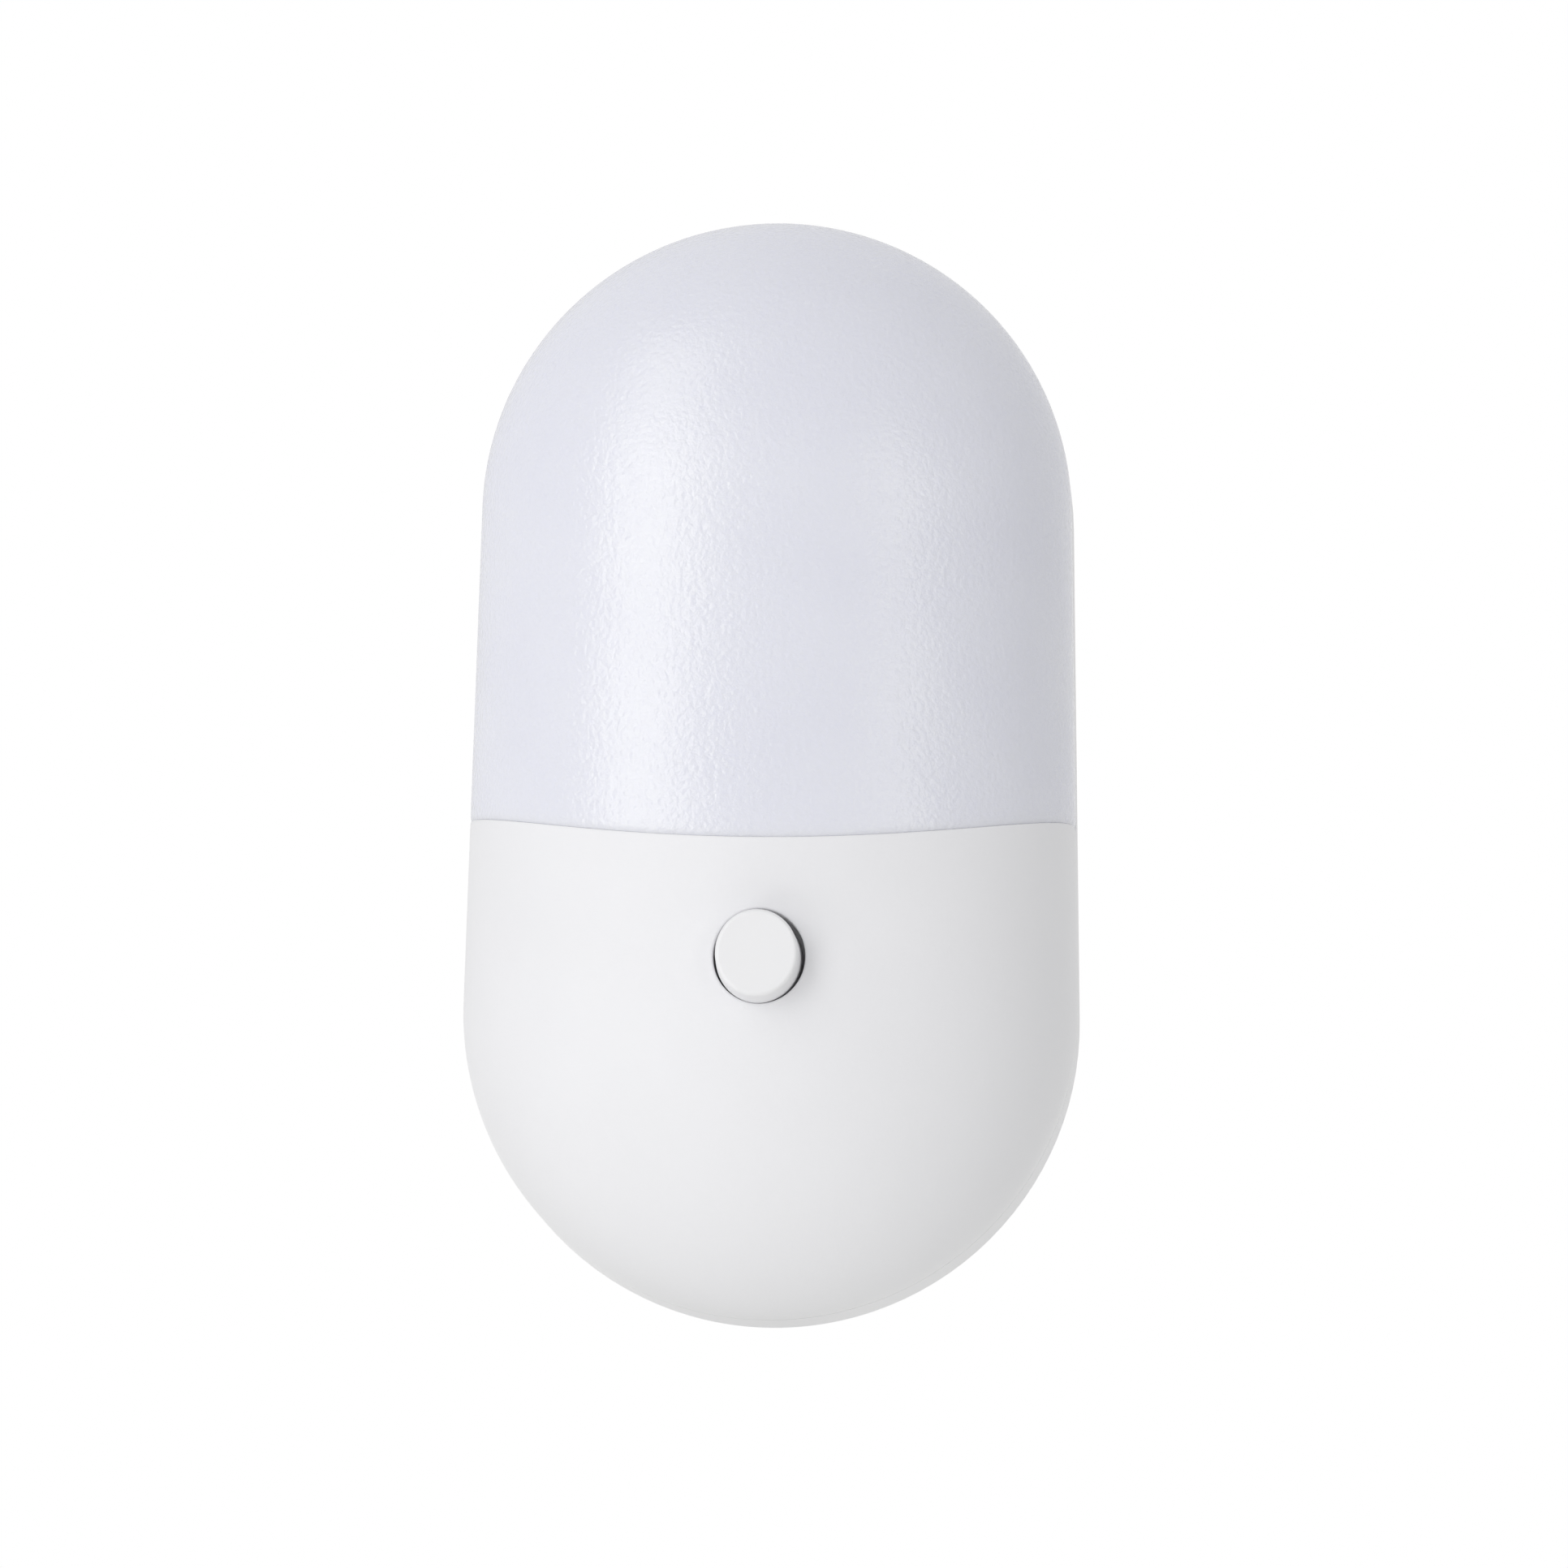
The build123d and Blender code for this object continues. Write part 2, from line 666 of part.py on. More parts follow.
# ---- LEDs
def upper_plate(inset, bottom):
    """A front-view plate that follows the case edge above a straight lower edge."""
    height = FAR
    return case_outline(inset) & (Pos(0, bottom + height / 2) * Rectangle(FAR, height))


def led_carrier():
    """White tray with a rim that throws stray light forward; its lower edge is open."""
    carrier = slab(upper_plate(carrier_inset, carrier_bottom), carrier_back, carrier_front)
    rim = case_ring(carrier_inset, carrier_inset + carrier_rim_thickness)
    rim &= Pos(0, carrier_bottom + FAR / 2) * Rectangle(FAR, FAR)
    carrier += slab(rim, carrier_back, carrier_front + carrier_rim)
    for x, z in led_screws_at:
        carrier -= peg(x, z, small_screw_radius + fit_gap, carrier_back, carrier_front)
    return carrier


def led_board():
    """Board that carries the LEDs, seated on the carrier."""
    board = slab(upper_plate(led_board_inset, led_board_bottom), carrier_front, led_board_front)
    for x, z in led_screws_at:
        board -= peg(x, z, small_screw_radius + fit_gap, carrier_front, led_board_front)
    return board


led_first_row = led_board_bottom + led_margin
led_last_row = led_board_top - led_screw_inset - small_head_radius - led_margin / 2
led_row_pitch = (led_last_row - led_first_row) / (led_rows - 1)
leds_at = [
    ((column - (led_columns - 1) / 2) * led_column_pitch, led_first_row + row * led_row_pitch)
    for row in range(led_rows) for column in range(led_columns)
]


def led_packages():
    """White reflector cups, each with a round well."""
    front = led_board_front + led_depth
    packages = []
    for x, z in leds_at:
        package = block(x, z, led_width, led_height, led_board_front, front)
        packages.append(package - peg(x, z, phosphor_radius, led_board_front + led_depth / 2, front))
    return packages


def led_phosphors():
    """Yellow lenses that fill the wells."""
    near = led_board_front + led_depth / 2
    far = led_board_front + led_depth + phosphor_proud
    return [peg(x, z, phosphor_radius, near, far) for x, z in leds_at]


# ---- Screws
def screw(x, z, seat, length, radius, head_radius, head_depth, sense):
    """Cross-recessed screw. Its head's underside is at seat, and sense is +1 if the head is in front."""
    def along(start, end):
        return min(start, end), max(start, end)

    head_end = seat + sense * head_depth
    body = peg(x, z, head_radius, *along(seat, head_end))
    outer_face = body.faces().sort_by(Axis.Y)[0 if sense > 0 else -1]
    body = fillet(outer_face.edges(), head_depth / 3)
    tip = seat - sense * length
    point = tip - sense * radius / 2
    body += peg(x, z, radius, *along(seat, tip))
    body += loft([Plane.XZ.offset(tip) * (Pos(x, z) * Circle(radius)),
                  Plane.XZ.offset(point) * (Pos(x, z) * Circle(radius / 2))])
    recess_end = head_end - sense * recess_depth
    recess_span = 2 * (head_radius - recess_margin)
    for width, height in ((recess_width, recess_span), (recess_span, recess_width)):
        body -= block(x, z, width, height, *along(head_end, recess_end))
    return body


def small_screws(places, seat, length):
    """Screws with their heads in front."""
    return [
        screw(x, z, seat, length, small_screw_radius, small_head_radius, small_head_depth, 1)
        for x, z in places
    ]


def case_screws():
    """The two screws in the back that pull the housing on to the cover."""
    return [
        screw(x, z, counterbore_depth - seat_gap, case_screw_length - screw_radius, screw_radius,
              screw_head_radius, screw_head_depth, -1)
        for x, z in case_screws_at
    ]


# ---- Wires
def wire(points):
    """Insulated wire along straight runs joined by arcs."""
    path = FilletPolyline(*points, radius=wire_bend)
    return sweep(Plane(origin=path @ 0, z_dir=path % 0) * Circle(wire_radius), path=path)


def mains_wire(side):
    """Wire from a blade's tail up behind the board and through it."""
    x = side * blade_pitch / 2
    y = -(board_back - mains_wire_drop - wire_radius)
    return wire([
        (x, y, blade_tail_width / 2),
        (x, y, mains_wire_z),
        (x, -(board_front + wire_radius), mains_wire_z),
    ])


def led_wire(side):
    """Wire that loops from the driver board up to the LED board's pad."""
    x = side * led_wire_pitch / 2
    start_z = board_high - led_wire_setback
    pad_z = led_board_bottom + led_wire_setback
    loop_y = -(board_front + led_wire_loop)
    return wire([
        (x, -board_back, start_z),
        (x, loop_y, start_z),
        (x, loop_y, pad_z),
        (x, -led_board_front, pad_z),
    ])


pieces = {
    "back_cover": back_cover(),
    "front_housing": front_housing(),
    "diffuser": diffuser(),
    "push_button": push_button(),
    "switch_case": switch_case(),
    "switch_base": switch_base(),
    "switch_terminals": switch_terminals(),
    "switch_plunger": switch_plunger(),
    "switch_spring": switch_spring(),
    "switch_latch": switch_latch(),
    "switch_bridges": switch_bridges(),
    "driver_board": driver_board(),
    "film_capacitor": film_capacitor(),
    "electrolytic_capacitor": electrolytic_capacitor(),
    "bridge_rectifier": bridge_rectifier(),
    "driver_chip": driver_chip(),
    "fusible_resistor": axial_part(resistor_at, resistor_radius, resistor_length),
    "bleed_resistors": [axial_part(place, bleed_radius, bleed_length) for place in bleeds_at],
    "varistor": varistor(),
    "plug_blade_left": plug_blade(-1),
    "plug_blade_right": plug_blade(1),
    "blade_clamp": blade_clamp(),
    "clamp_screws": small_screws(clamp_screws_at, clamp_front, clamp_screw_length),
    "board_screws": small_screws(board_screws_at, board_front, board_screw_length),
    "led_carrier": led_carrier(),
    "led_board": led_board(),
    "led_packages": led_packages(),
    "led_phosphors": led_phosphors(),
    "led_screws": small_screws(led_screws_at, led_board_front, led_screw_length),
    "case_screws": case_screws(),
    "live_wire": mains_wire(1),
    "neutral_wire": mains_wire(-1),
    "led_wire_positive": led_wire(1),
    "led_wire_negative": led_wire(-1),
}

os.makedirs("parts", exist_ok=True)
for name, shape in pieces.items():
    solids = shape if isinstance(shape, list) else [shape]
    group = Compound(children=[Solid(solid.wrapped) for piece in solids for solid in piece.solids()])
    export_step(group, f"parts/{name}.step")
    print(name, len(group.solids()), "solid(s)", round(group.volume, 2), "mm3")
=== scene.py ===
# %% [markdown]
# # A plug-in night light, from frame to finish
# The real object is a pill-shaped plastic case that hangs on a wall socket by its two flat blades. The
# upper half of its domed front is a frosted opal lens, the lower half a matte white housing with one
# round push button. The construction model already holds every piece at its real size, so this lesson
# only adds what the eye sees: soft moulded edges, true surfaces and the finish of each material.
# Three ways lead there: cut and bevel the construction meshes, sculpt by hand, or work the surfaces out
# from their formulas. The case is all arcs and a flattened dome, so formulas give the cleanest result.

import math

import bmesh
import bpy
import numpy as np
from mathutils import Matrix, Vector


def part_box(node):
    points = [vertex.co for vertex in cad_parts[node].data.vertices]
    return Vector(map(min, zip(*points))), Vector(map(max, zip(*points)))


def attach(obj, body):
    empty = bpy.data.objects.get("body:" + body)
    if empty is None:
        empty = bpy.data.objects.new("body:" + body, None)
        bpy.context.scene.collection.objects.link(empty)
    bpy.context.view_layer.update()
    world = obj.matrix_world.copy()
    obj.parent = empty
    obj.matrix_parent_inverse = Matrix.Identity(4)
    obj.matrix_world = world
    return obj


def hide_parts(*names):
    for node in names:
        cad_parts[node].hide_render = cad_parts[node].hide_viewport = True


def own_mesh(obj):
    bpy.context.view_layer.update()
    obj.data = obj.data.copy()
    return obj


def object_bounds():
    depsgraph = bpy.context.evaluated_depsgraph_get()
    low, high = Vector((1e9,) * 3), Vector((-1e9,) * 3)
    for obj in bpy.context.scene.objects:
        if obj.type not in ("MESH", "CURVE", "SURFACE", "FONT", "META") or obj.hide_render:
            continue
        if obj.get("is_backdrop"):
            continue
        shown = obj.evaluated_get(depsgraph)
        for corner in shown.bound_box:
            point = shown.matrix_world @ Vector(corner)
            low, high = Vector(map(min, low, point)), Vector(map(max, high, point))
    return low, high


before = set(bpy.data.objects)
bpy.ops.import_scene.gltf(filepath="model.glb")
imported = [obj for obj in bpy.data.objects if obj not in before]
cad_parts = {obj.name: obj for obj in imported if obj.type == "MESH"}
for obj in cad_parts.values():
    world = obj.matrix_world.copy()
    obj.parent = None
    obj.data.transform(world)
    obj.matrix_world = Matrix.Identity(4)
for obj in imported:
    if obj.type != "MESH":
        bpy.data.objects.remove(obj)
cad_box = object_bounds()

# %% [markdown]
# ## Sizes
# The maker of such a case draws it in millimetres, from a few driving sizes, so the script does too and
# turns them into metres only when a mesh is made. "Depth" is the distance in front of the flat back, so
# y = -depth. A lens and a housing that stop at the same arc share its centre and differ in its radius.

# %% Driving sizes in millimetres
MM = 0.001
low_radius, top_radius = 30.5, 29.5       # the two round ends
low_z, top_z = 8.5, 58.5                  # heights of their centres
side_depth, crown_depth = 12.0, 20.0      # the side wall, and the dome in front of it
wall, lens_wall = 2.0, 1.8                # how thick the housing and the lens are
rim_depth, parting_gap = 10.0, 0.15       # front edge of the back cover, and the gap in front of it
skin_thickness = 0.95                     # how thick both are where they reach over the cover's lip
seam_z, seam_radius = 23.4, 123.0         # lowest point of the seam, and its arc
seam_line = 0.02                          # how far apart housing and lens are at the seam
tongue_height, tongue_root, tongue_thickness = 3.0, 3.0, 1.2
button_z, button_radius, button_gap = 11.7, 4.27, 0.33
well_oval, well_x = (0.983, 1.010), -0.07  # the well's stretch in width and height, and its middle
fit_gap, seat_gap = 0.15, 0.05            # play between walls, and between faces that seat

lean = (low_radius - top_radius) / (top_z - low_z)
spread = math.sqrt(1 - lean ** 2)
seam_center_z = seam_z + seam_radius
hole_radius = button_radius + button_gap

cover_low, cover_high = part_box("back_cover")
case_width = (cover_high.x - cover_low.x) / MM
print(f"case width {case_width:.2f} mm in the frame, {2 * low_radius:.2f} mm from the sizes")

# %% [markdown]
# ## The camera
# A long lens from nine hundred millimetres away keeps the case's sides almost parallel, as catalogue
# pictures do. The camera stands a little lower than the case and a little to its right, so the button's
# underside and right side just come into view. Turning the camera about its own axis by under a degree
# lets the case lean as a hand-held shot does. The aim point frames the object, so the lens needs no
# shift.

# %% Camera
camera_distance, frame_width = 900.0, 155.5
camera_azimuth, camera_elevation, camera_roll = 3.1, -8.0, 0.74
aim_point = (1.3, -16.0, 30.8)


def direction(azimuth, elevation):
    """Unit vector from the object: azimuth 0 is straight in front, positive turns to the right."""
    turn, rise = math.radians(azimuth), math.radians(elevation)
    return Vector((math.sin(turn) * math.cos(rise), -math.cos(turn) * math.cos(rise), math.sin(rise)))


def link(thing, name):
    """Put a new object that holds this data into the scene."""
    made = bpy.data.objects.new(name, thing)
    bpy.context.scene.collection.objects.link(made)
    return made


lens = bpy.data.cameras.new("portrait_lens")
lens.lens = lens.sensor_width * camera_distance / frame_width
camera = link(lens, "camera")
towards_camera = direction(camera_azimuth, camera_elevation)
camera.location = (Vector(aim_point) + camera_distance * towards_camera) * MM
look = towards_camera.to_track_quat("Z", "Y").to_matrix()
camera.rotation_euler = (look @ Matrix.Rotation(math.radians(camera_roll), 3, "Z")).to_euler()
lens.clip_start, lens.clip_end = 0.05, 20.0
bpy.context.scene.camera = camera
print(f"lens {lens.lens:.0f} mm, camera at {[round(c, 3) for c in camera.location]} m")

# %% [markdown]
# ## Studio light
# White plastic on white needs light that wraps round: an even white room gives the case its tone, and
# softboxes on the left model the dome. The tall one is the key and draws the long highlight down the
# lens. One above it and one below it carry the light round the top and the belly, a faint strip nearer
# the camera fills the middle, and a wide box under the case stands for a white table. The one on the
# right draws the second, fainter highlight. Point lamps would be simpler, but glossy plastic mirrors its
# lamps, so they have to be as broad as real boxes. The camera itself doesn't see them.

# %% Softboxes
light_distance = 1200.0
softboxes = {                # (azimuth, elevation), (width, height), radiance
    "key_softbox": ((-36, 10), (560, 780), 2.75),
    "high_softbox": ((-40, 41), (500, 500), 1.5),
    "low_softbox": ((-45, -32), (500, 400), 2.1),
    "inner_strip": ((-16, 10), (240, 800), 0.3),
    "table_bounce": ((0, -60), (900, 600), 0.6),
    "right_softbox": ((33.5, 6), (330, 640), 1.3),
}


def softbox(name, stand, size, radiance):
    """A rectangular light that faces the object. Its power is pi * area * radiance."""
    lamp = bpy.data.lights.new(name, "AREA")
    lamp.shape = "RECTANGLE"
    lamp.size, lamp.size_y = size[0] * MM, size[1] * MM
    lamp.energy = math.pi * lamp.size * lamp.size_y * radiance
    made = link(lamp, name)
    made.visible_camera = False
    away = direction(*stand)
    made.location = (Vector(aim_point) + light_distance * away) * MM
    made.rotation_euler = away.to_track_quat("Z", "Y").to_euler()


for name, (stand, size, radiance) in softboxes.items():
    softbox(name, stand, size, radiance)
print("softboxes at azimuth, elevation:", {name: stand for name, (stand, *_) in softboxes.items()})

# %% [markdown]
# A white room shows twice, as what the camera sees and as what lights the case. The camera sees it pure
# white, but it lights the case less than that, or nothing would have shape. A smooth ramp along Y makes
# it brighter behind the case than in front of it, and that glow, caught at a glancing angle, keeps the
# outline pale. A big dome of mesh could do the same, but the world needs no geometry. The room and every
# finish are made of nodes, so one function adds a node with its settings and its links.

# %% White room
room_light, backdrop_light = 0.57, 0.27
ramp_start, ramp_end = -0.1, 0.5          # along Y, where -1 is straight in front of the case
pure_white = (1, 1, 1, 1)


def add_node(tree, kind, inputs=None, **settings):
    """Add one node. Settings are its properties; each input takes a value or another node's socket."""
    node = tree.nodes.new(kind)
    for name, value in settings.items():
        setattr(node, name, value)
    for name, value in (inputs or {}).items():
        if isinstance(value, bpy.types.NodeSocket):
            tree.links.new(value, node.inputs[name])
        else:
            node.inputs[name].default_value = value
    return node


world = bpy.data.worlds.new("white_room")
bpy.context.scene.world = world
world.use_nodes = True
world.node_tree.nodes.clear()
seen = add_node(world.node_tree, "ShaderNodeBackground", {"Color": pure_white, "Strength": 1.0})
way = add_node(world.node_tree, "ShaderNodeTexCoord").outputs["Generated"]
behind = add_node(world.node_tree, "ShaderNodeSeparateXYZ", {0: way}).outputs["Y"]
glow = add_node(world.node_tree, "ShaderNodeMapRange",
                {"Value": behind, "From Min": ramp_start, "From Max": ramp_end,
                 "To Min": room_light, "To Max": room_light + backdrop_light},
                interpolation_type="SMOOTHSTEP").outputs["Result"]
felt = add_node(world.node_tree, "ShaderNodeBackground", {"Color": pure_white, "Strength": glow})
ray = add_node(world.node_tree, "ShaderNodeLightPath").outputs["Is Camera Ray"]
room = add_node(world.node_tree, "ShaderNodeMixShader", {0: ray, 1: felt.outputs[0], 2: seen.outputs[0]})
add_node(world.node_tree, "ShaderNodeOutputWorld", {"Surface": room.outputs[0]})
bpy.context.scene.view_settings.view_transform = "Standard"
print(f"room light {room_light} in front of the case, {room_light + backdrop_light:.2f} behind it")

# %% [markdown]
# ## From arrays to meshes
# A surface is a grid of points, worked out as whole arrays: rows run along its profile, columns round
# it. A piece is a few such grids whose edges meet, so they are welded where they touch. A row whose
# points all fall together becomes a pole, and the weld closes it with triangles.

# %% Grids and faces
def grid(points, closed=False):
    """Four-cornered faces between rows and columns; closed joins the last column to the first."""
    rows, columns = points.shape[:2]
    index = np.arange(rows * columns).reshape(rows, columns)
    if closed:
        index = np.hstack([index, index[:, :1]])
    corners = (index[:-1, :-1], index[:-1, 1:], index[1:, 1:], index[1:, :-1])
    return points.reshape(-1, 3), np.stack(corners, axis=-1).reshape(-1, 4).tolist()


def flat_face(points):
    """One face through a closed line of points."""
    return points, [list(range(len(points)))]


def bar(rows):
    """A closed profile carried along a path, whose last row repeats the first: its skin and both ends."""
    strip = np.stack(rows)
    return [grid(strip), flat_face(strip[:-1, 0]), flat_face(strip[-2::-1, -1])]


def place(x, depth, z):
    """Stack a front view's x and z and a depth into points, with the front at -Y."""
    return np.stack(np.broadcast_arrays(x, -np.asarray(depth), z), axis=-1).astype(float)


sample = place(*np.meshgrid(range(4), range(3)), 0)
print(f"a grid of 3 by 4 points has {len(grid(sample)[1])} faces, closed {len(grid(sample, True)[1])}")

# %% Pieces
weld_distance = 1e-4
sharp_angle = 32.0


def make_piece(name, patches, body, nodes):
    """Weld patches of points and faces into one closed mesh whose faces point outwards."""
    starts = np.cumsum([0] + [len(points) for points, _ in patches])
    corners = np.concatenate([points for points, _ in patches]) * MM
    faces = [[start + i for i in face] for start, (_, group) in zip(starts, patches) for face in group]
    mesh = bpy.data.meshes.new(name)
    mesh.from_pydata(corners.tolist(), [], faces)
    shape = bmesh.new()
    shape.from_mesh(mesh)
    bmesh.ops.remove_doubles(shape, verts=shape.verts, dist=weld_distance * MM)
    bmesh.ops.recalc_face_normals(shape, faces=shape.faces)
    open_edges = sum(not edge.is_manifold for edge in shape.edges)
    shape.to_mesh(mesh)
    shape.free()
    mesh.polygons.foreach_set("use_smooth", np.ones(len(mesh.polygons), bool))
    mesh.set_sharp_from_angle(angle=math.radians(sharp_angle))
    piece = link(mesh, name)
    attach(piece, body)
    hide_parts(*nodes)
    print(f"{name}: {len(mesh.polygons)} faces, {open_edges} open edges")
    return piece


print(f"points within {weld_distance} mm are welded, and edges over {sharp_angle:.0f} degrees stay sharp")

# %% [markdown]
# ## The case's shape
# Seen from the front the case is two round ends joined by straight sides that touch both, so the sides
# lean in a little towards the top. The front is that outline turned about the long axis and then
# flattened: at any height the section is half an ellipse. A wall's inner face is the same shape with
# every radius smaller by the wall.

# %% Outline and dome
def half_width(z, inset=0.0):
    """Half the width at height z: sqrt(R^2 - (z - centre)^2) on a round end, a straight line between."""
    low, top = low_radius - inset, top_radius - inset
    low_round = np.sqrt(np.clip(low ** 2 - (z - low_z) ** 2, 0, None))
    top_round = np.sqrt(np.clip(top ** 2 - (z - top_z) ** 2, 0, None))
    straight = (low - lean * (z - low_z)) / spread
    upper = np.where(z > top_z + top * lean, top_round, straight)
    return np.where(z < low_z + low * lean, low_round, upper)


def flattening(inset=0.0):
    """How much of the turned outline's height is left in the dome."""
    return (crown_depth - inset) / (low_radius - inset)


def dome_height(x, z, inset=0.0):
    """Height above the side wall before flattening: sqrt(half width^2 - x^2)."""
    return np.sqrt(np.clip(half_width(z, inset) ** 2 - x ** 2, 0, None))


def dome_depth(x, z, inset=0.0):
    """Depth of the domed front, or of the inner face of its wall."""
    return side_depth + flattening(inset) * dome_height(x, z, inset)


def dome_normal(x, z):
    """Outward normal: the slope of x^2 + height^2 - half width^2, which fits the side wall as well."""
    along = np.where(z < low_z + low_radius * lean, z - low_z, half_width(z) * lean / spread)
    along = np.where(z > top_z + top_radius * lean, z - top_z, along)
    normal = place(x, dome_height(x, z) / flattening(), along)
    return normal / np.linalg.norm(normal, axis=-1, keepdims=True)


print(f"dome over the button: {float(dome_depth(0.0, button_z)):.2f} mm from the back")

# %% [markdown]
# Each half of the case ends at the seam, an arc that sags in the middle. Its edge is a closed loop: a
# run along the outline and a run along the seam. Both are worked out from the same shares for every
# inset, so the outer and the inner loop match point by point.

# %% Loops round one half of the case
edge_steps = np.array([0, 0.03, 0.07, 0.11, 0.15, 0.2, 0.3, 0.5])  # from the seam, finest there
rim_columns, seam_columns = 180, 110


def seam_corner(arc_radius, inset):
    """Where the seam meets the straight side: the lower root of (a + b z)^2 + (z - c)^2 = r^2."""
    slope = -lean / spread
    start = (low_radius - inset + lean * low_z) / spread
    square, linear = 1 + slope ** 2, start * slope - seam_center_z
    constant = start ** 2 + seam_center_z ** 2 - arc_radius ** 2
    z = (-linear - math.sqrt(linear ** 2 - square * constant)) / square
    return start + slope * z, z


def rim_run(arc_radius, inset, upper):
    """The outline from the seam's left end to its right end, as x and z.

    Distance is counted from the round end's middle: an arc first, then the straight side.
    """
    sign, centre = (1, top_z) if upper else (-1, low_z)
    radius = (top_radius if upper else low_radius) - inset
    corner_z = seam_corner(arc_radius, inset)[1]
    touch_z = centre + radius * lean
    quarter = radius * (math.pi / 2 - sign * math.asin(lean))
    half_run = quarter + abs(touch_z - corner_z) / spread
    middle = np.linspace(-1, 1, rim_columns) * (half_run - 2 * edge_steps[-1])
    run = np.concatenate([edge_steps - half_run, middle, half_run - edge_steps[::-1]])
    past = np.clip(np.abs(run) - quarter, 0, None)
    angle = np.clip(run, -quarter, quarter) / radius
    z = np.where(past > 0, touch_z - sign * past * spread, centre + sign * radius * np.cos(angle))
    x = np.where(past > 0, np.sign(run) * half_width(z, inset), radius * np.sin(angle))
    return x, z


def seam_run(arc_radius, inset):
    """The seam from its right end to its left end: x is the corner's times a sine, so ends are fine."""
    corner_x = seam_corner(arc_radius, inset)[0]
    x = corner_x * np.sin(np.linspace(math.pi / 2, -math.pi / 2, seam_columns))
    return x, seam_center_z - np.sqrt(arc_radius ** 2 - x ** 2)


def edge_loop(arc_radius, inset, upper):
    """Both runs as one closed loop."""
    rim_x, rim_z = rim_run(arc_radius, inset, upper)
    seam_x, seam_arc_z = seam_run(arc_radius, inset)
    return np.append(rim_x, seam_x[1:-1]), np.append(rim_z, seam_arc_z[1:-1])


seam_end_x, seam_end_z = seam_corner(seam_radius, 0.0)
print(f"the seam's ends are {2 * seam_end_x:.2f} mm apart, {seam_end_z:.2f} mm up")

# %% [markdown]
# Moulded edges are never sharp. A round of a fifth of a millimetre is what catches the light round the
# button's well. At the seam both halves ease down to it more gently, the soft lens over most of a
# millimetre, so the seam reads as a grey band with one fine dark line. It could be a bevel modifier, but
# here it is part of the formula: a point near an edge sinks along its normal, by a quarter circle or,
# at the seam, by a parabola.

# %% Rounded edges
edge_round = 0.22
housing_ease, lens_ease = (0.25, 0.07), (0.75, 0.13)      # width and drop at the seam
parting_depth = rim_depth + parting_gap


def sink(distance, radius=edge_round):
    """Depth of a quarter round at a distance from its edge: r - sqrt(r^2 - (r - d)^2)."""
    left = np.clip(radius - distance, 0, radius)
    return radius - np.sqrt(radius ** 2 - left ** 2)


def ease(distance, width, drop):
    """Depth of a parabola that starts a width from the edge: drop * (1 - d / width)^2."""
    return drop * np.clip(1 - distance / width, 0, 1) ** 2


def from_button(x, z):
    """Distance from the button's axis, with width and height stretched so that the oval well is round."""
    return np.hypot((x - well_x) / well_oval[0], (z - button_z) / well_oval[1])


def outer_point(x, depth, z, arc_radius, hole):
    """A point of the outer face, sunk where it is near the seam, the parting line or the hole."""
    from_seam = np.abs(np.hypot(x, z - seam_center_z) - arc_radius)
    drop = ease(from_seam, *(housing_ease if hole else lens_ease))
    drop = np.maximum(drop, sink(depth - parting_depth))
    if hole:
        drop = np.maximum(drop, sink(from_button(x, z) - hole_radius))
    return place(x, depth, z) - drop[..., None] * dome_normal(x, z)


print(f"parting line at {parting_depth:.2f} mm, edges rounded to {edge_round} mm")

# %% [markdown]
# A shell's faces are made in two ways. A web spins rows between a point or a ring and the edge loop, for
# the domed faces. A strip carries one profile along the rim: back along the side wall, round its edge at
# the parting line, forward inside the thin skin over the cover's lip, and in to the full wall.

# %% Webs, rims and seams
side_steps = np.array([0, 0.6, 1.2, 1.5])
round_rows = 7
round_turn = np.linspace(0, math.pi / 2, round_rows)
strip_depths = np.append(side_depth - side_steps, parting_depth + edge_round * (1 - np.sin(round_turn)))


def web(hub_x, hub_z, x, z, shares):
    """Rows of points between a hub and a loop in the front view, one row for each share."""
    part = shares[:, None]
    return hub_x + (x - hub_x) * part, hub_z + (z - hub_z) * part


def ring_hub(x, z, radius):
    """The points of a ring round the button's axis that lie towards each point of a loop."""
    length = from_button(x, z)
    return well_x + radius * (x - well_x) / length, button_z + radius * (z - button_z) / length


def rim_patches(arc_radius, thickness, upper, hole):
    """Side wall, its rounded end, the thin skin and the step behind it, and the two end faces."""
    x, z = rim_run(arc_radius, 0.0, upper)
    skin_x, skin_z = rim_run(arc_radius, skin_thickness, upper)
    back_x, back_z = rim_run(arc_radius, thickness, upper)
    across, depth, up = np.broadcast_arrays(x, strip_depths[:, None], z)
    outer = outer_point(across, depth, up, arc_radius, hole)
    skin = np.stack([place(skin_x, parting_depth, skin_z), place(skin_x, side_depth, skin_z),
                     place(back_x, side_depth, back_z)])
    strips = np.concatenate([outer, skin])
    return [grid(strips), flat_face(strips[:, 0]), flat_face(strips[::-1, -1])]


def seam_patch(arc_radius, thickness, hole):
    """The narrow wall along the seam, from the rounded outer edge back to the inner face."""
    x, z = seam_run(arc_radius, 0.0)
    inner_x, inner_z = seam_run(arc_radius, thickness)
    edge = outer_point(x, dome_depth(x, z), z, arc_radius, hole)
    inner = place(inner_x, dome_depth(inner_x, inner_z, thickness), inner_z)
    return grid(np.stack([edge, inner]))


print(f"rim strip: {len(strip_depths)} rows, depth {strip_depths[0]:.2f} to {strip_depths[-1]:.2f} mm")

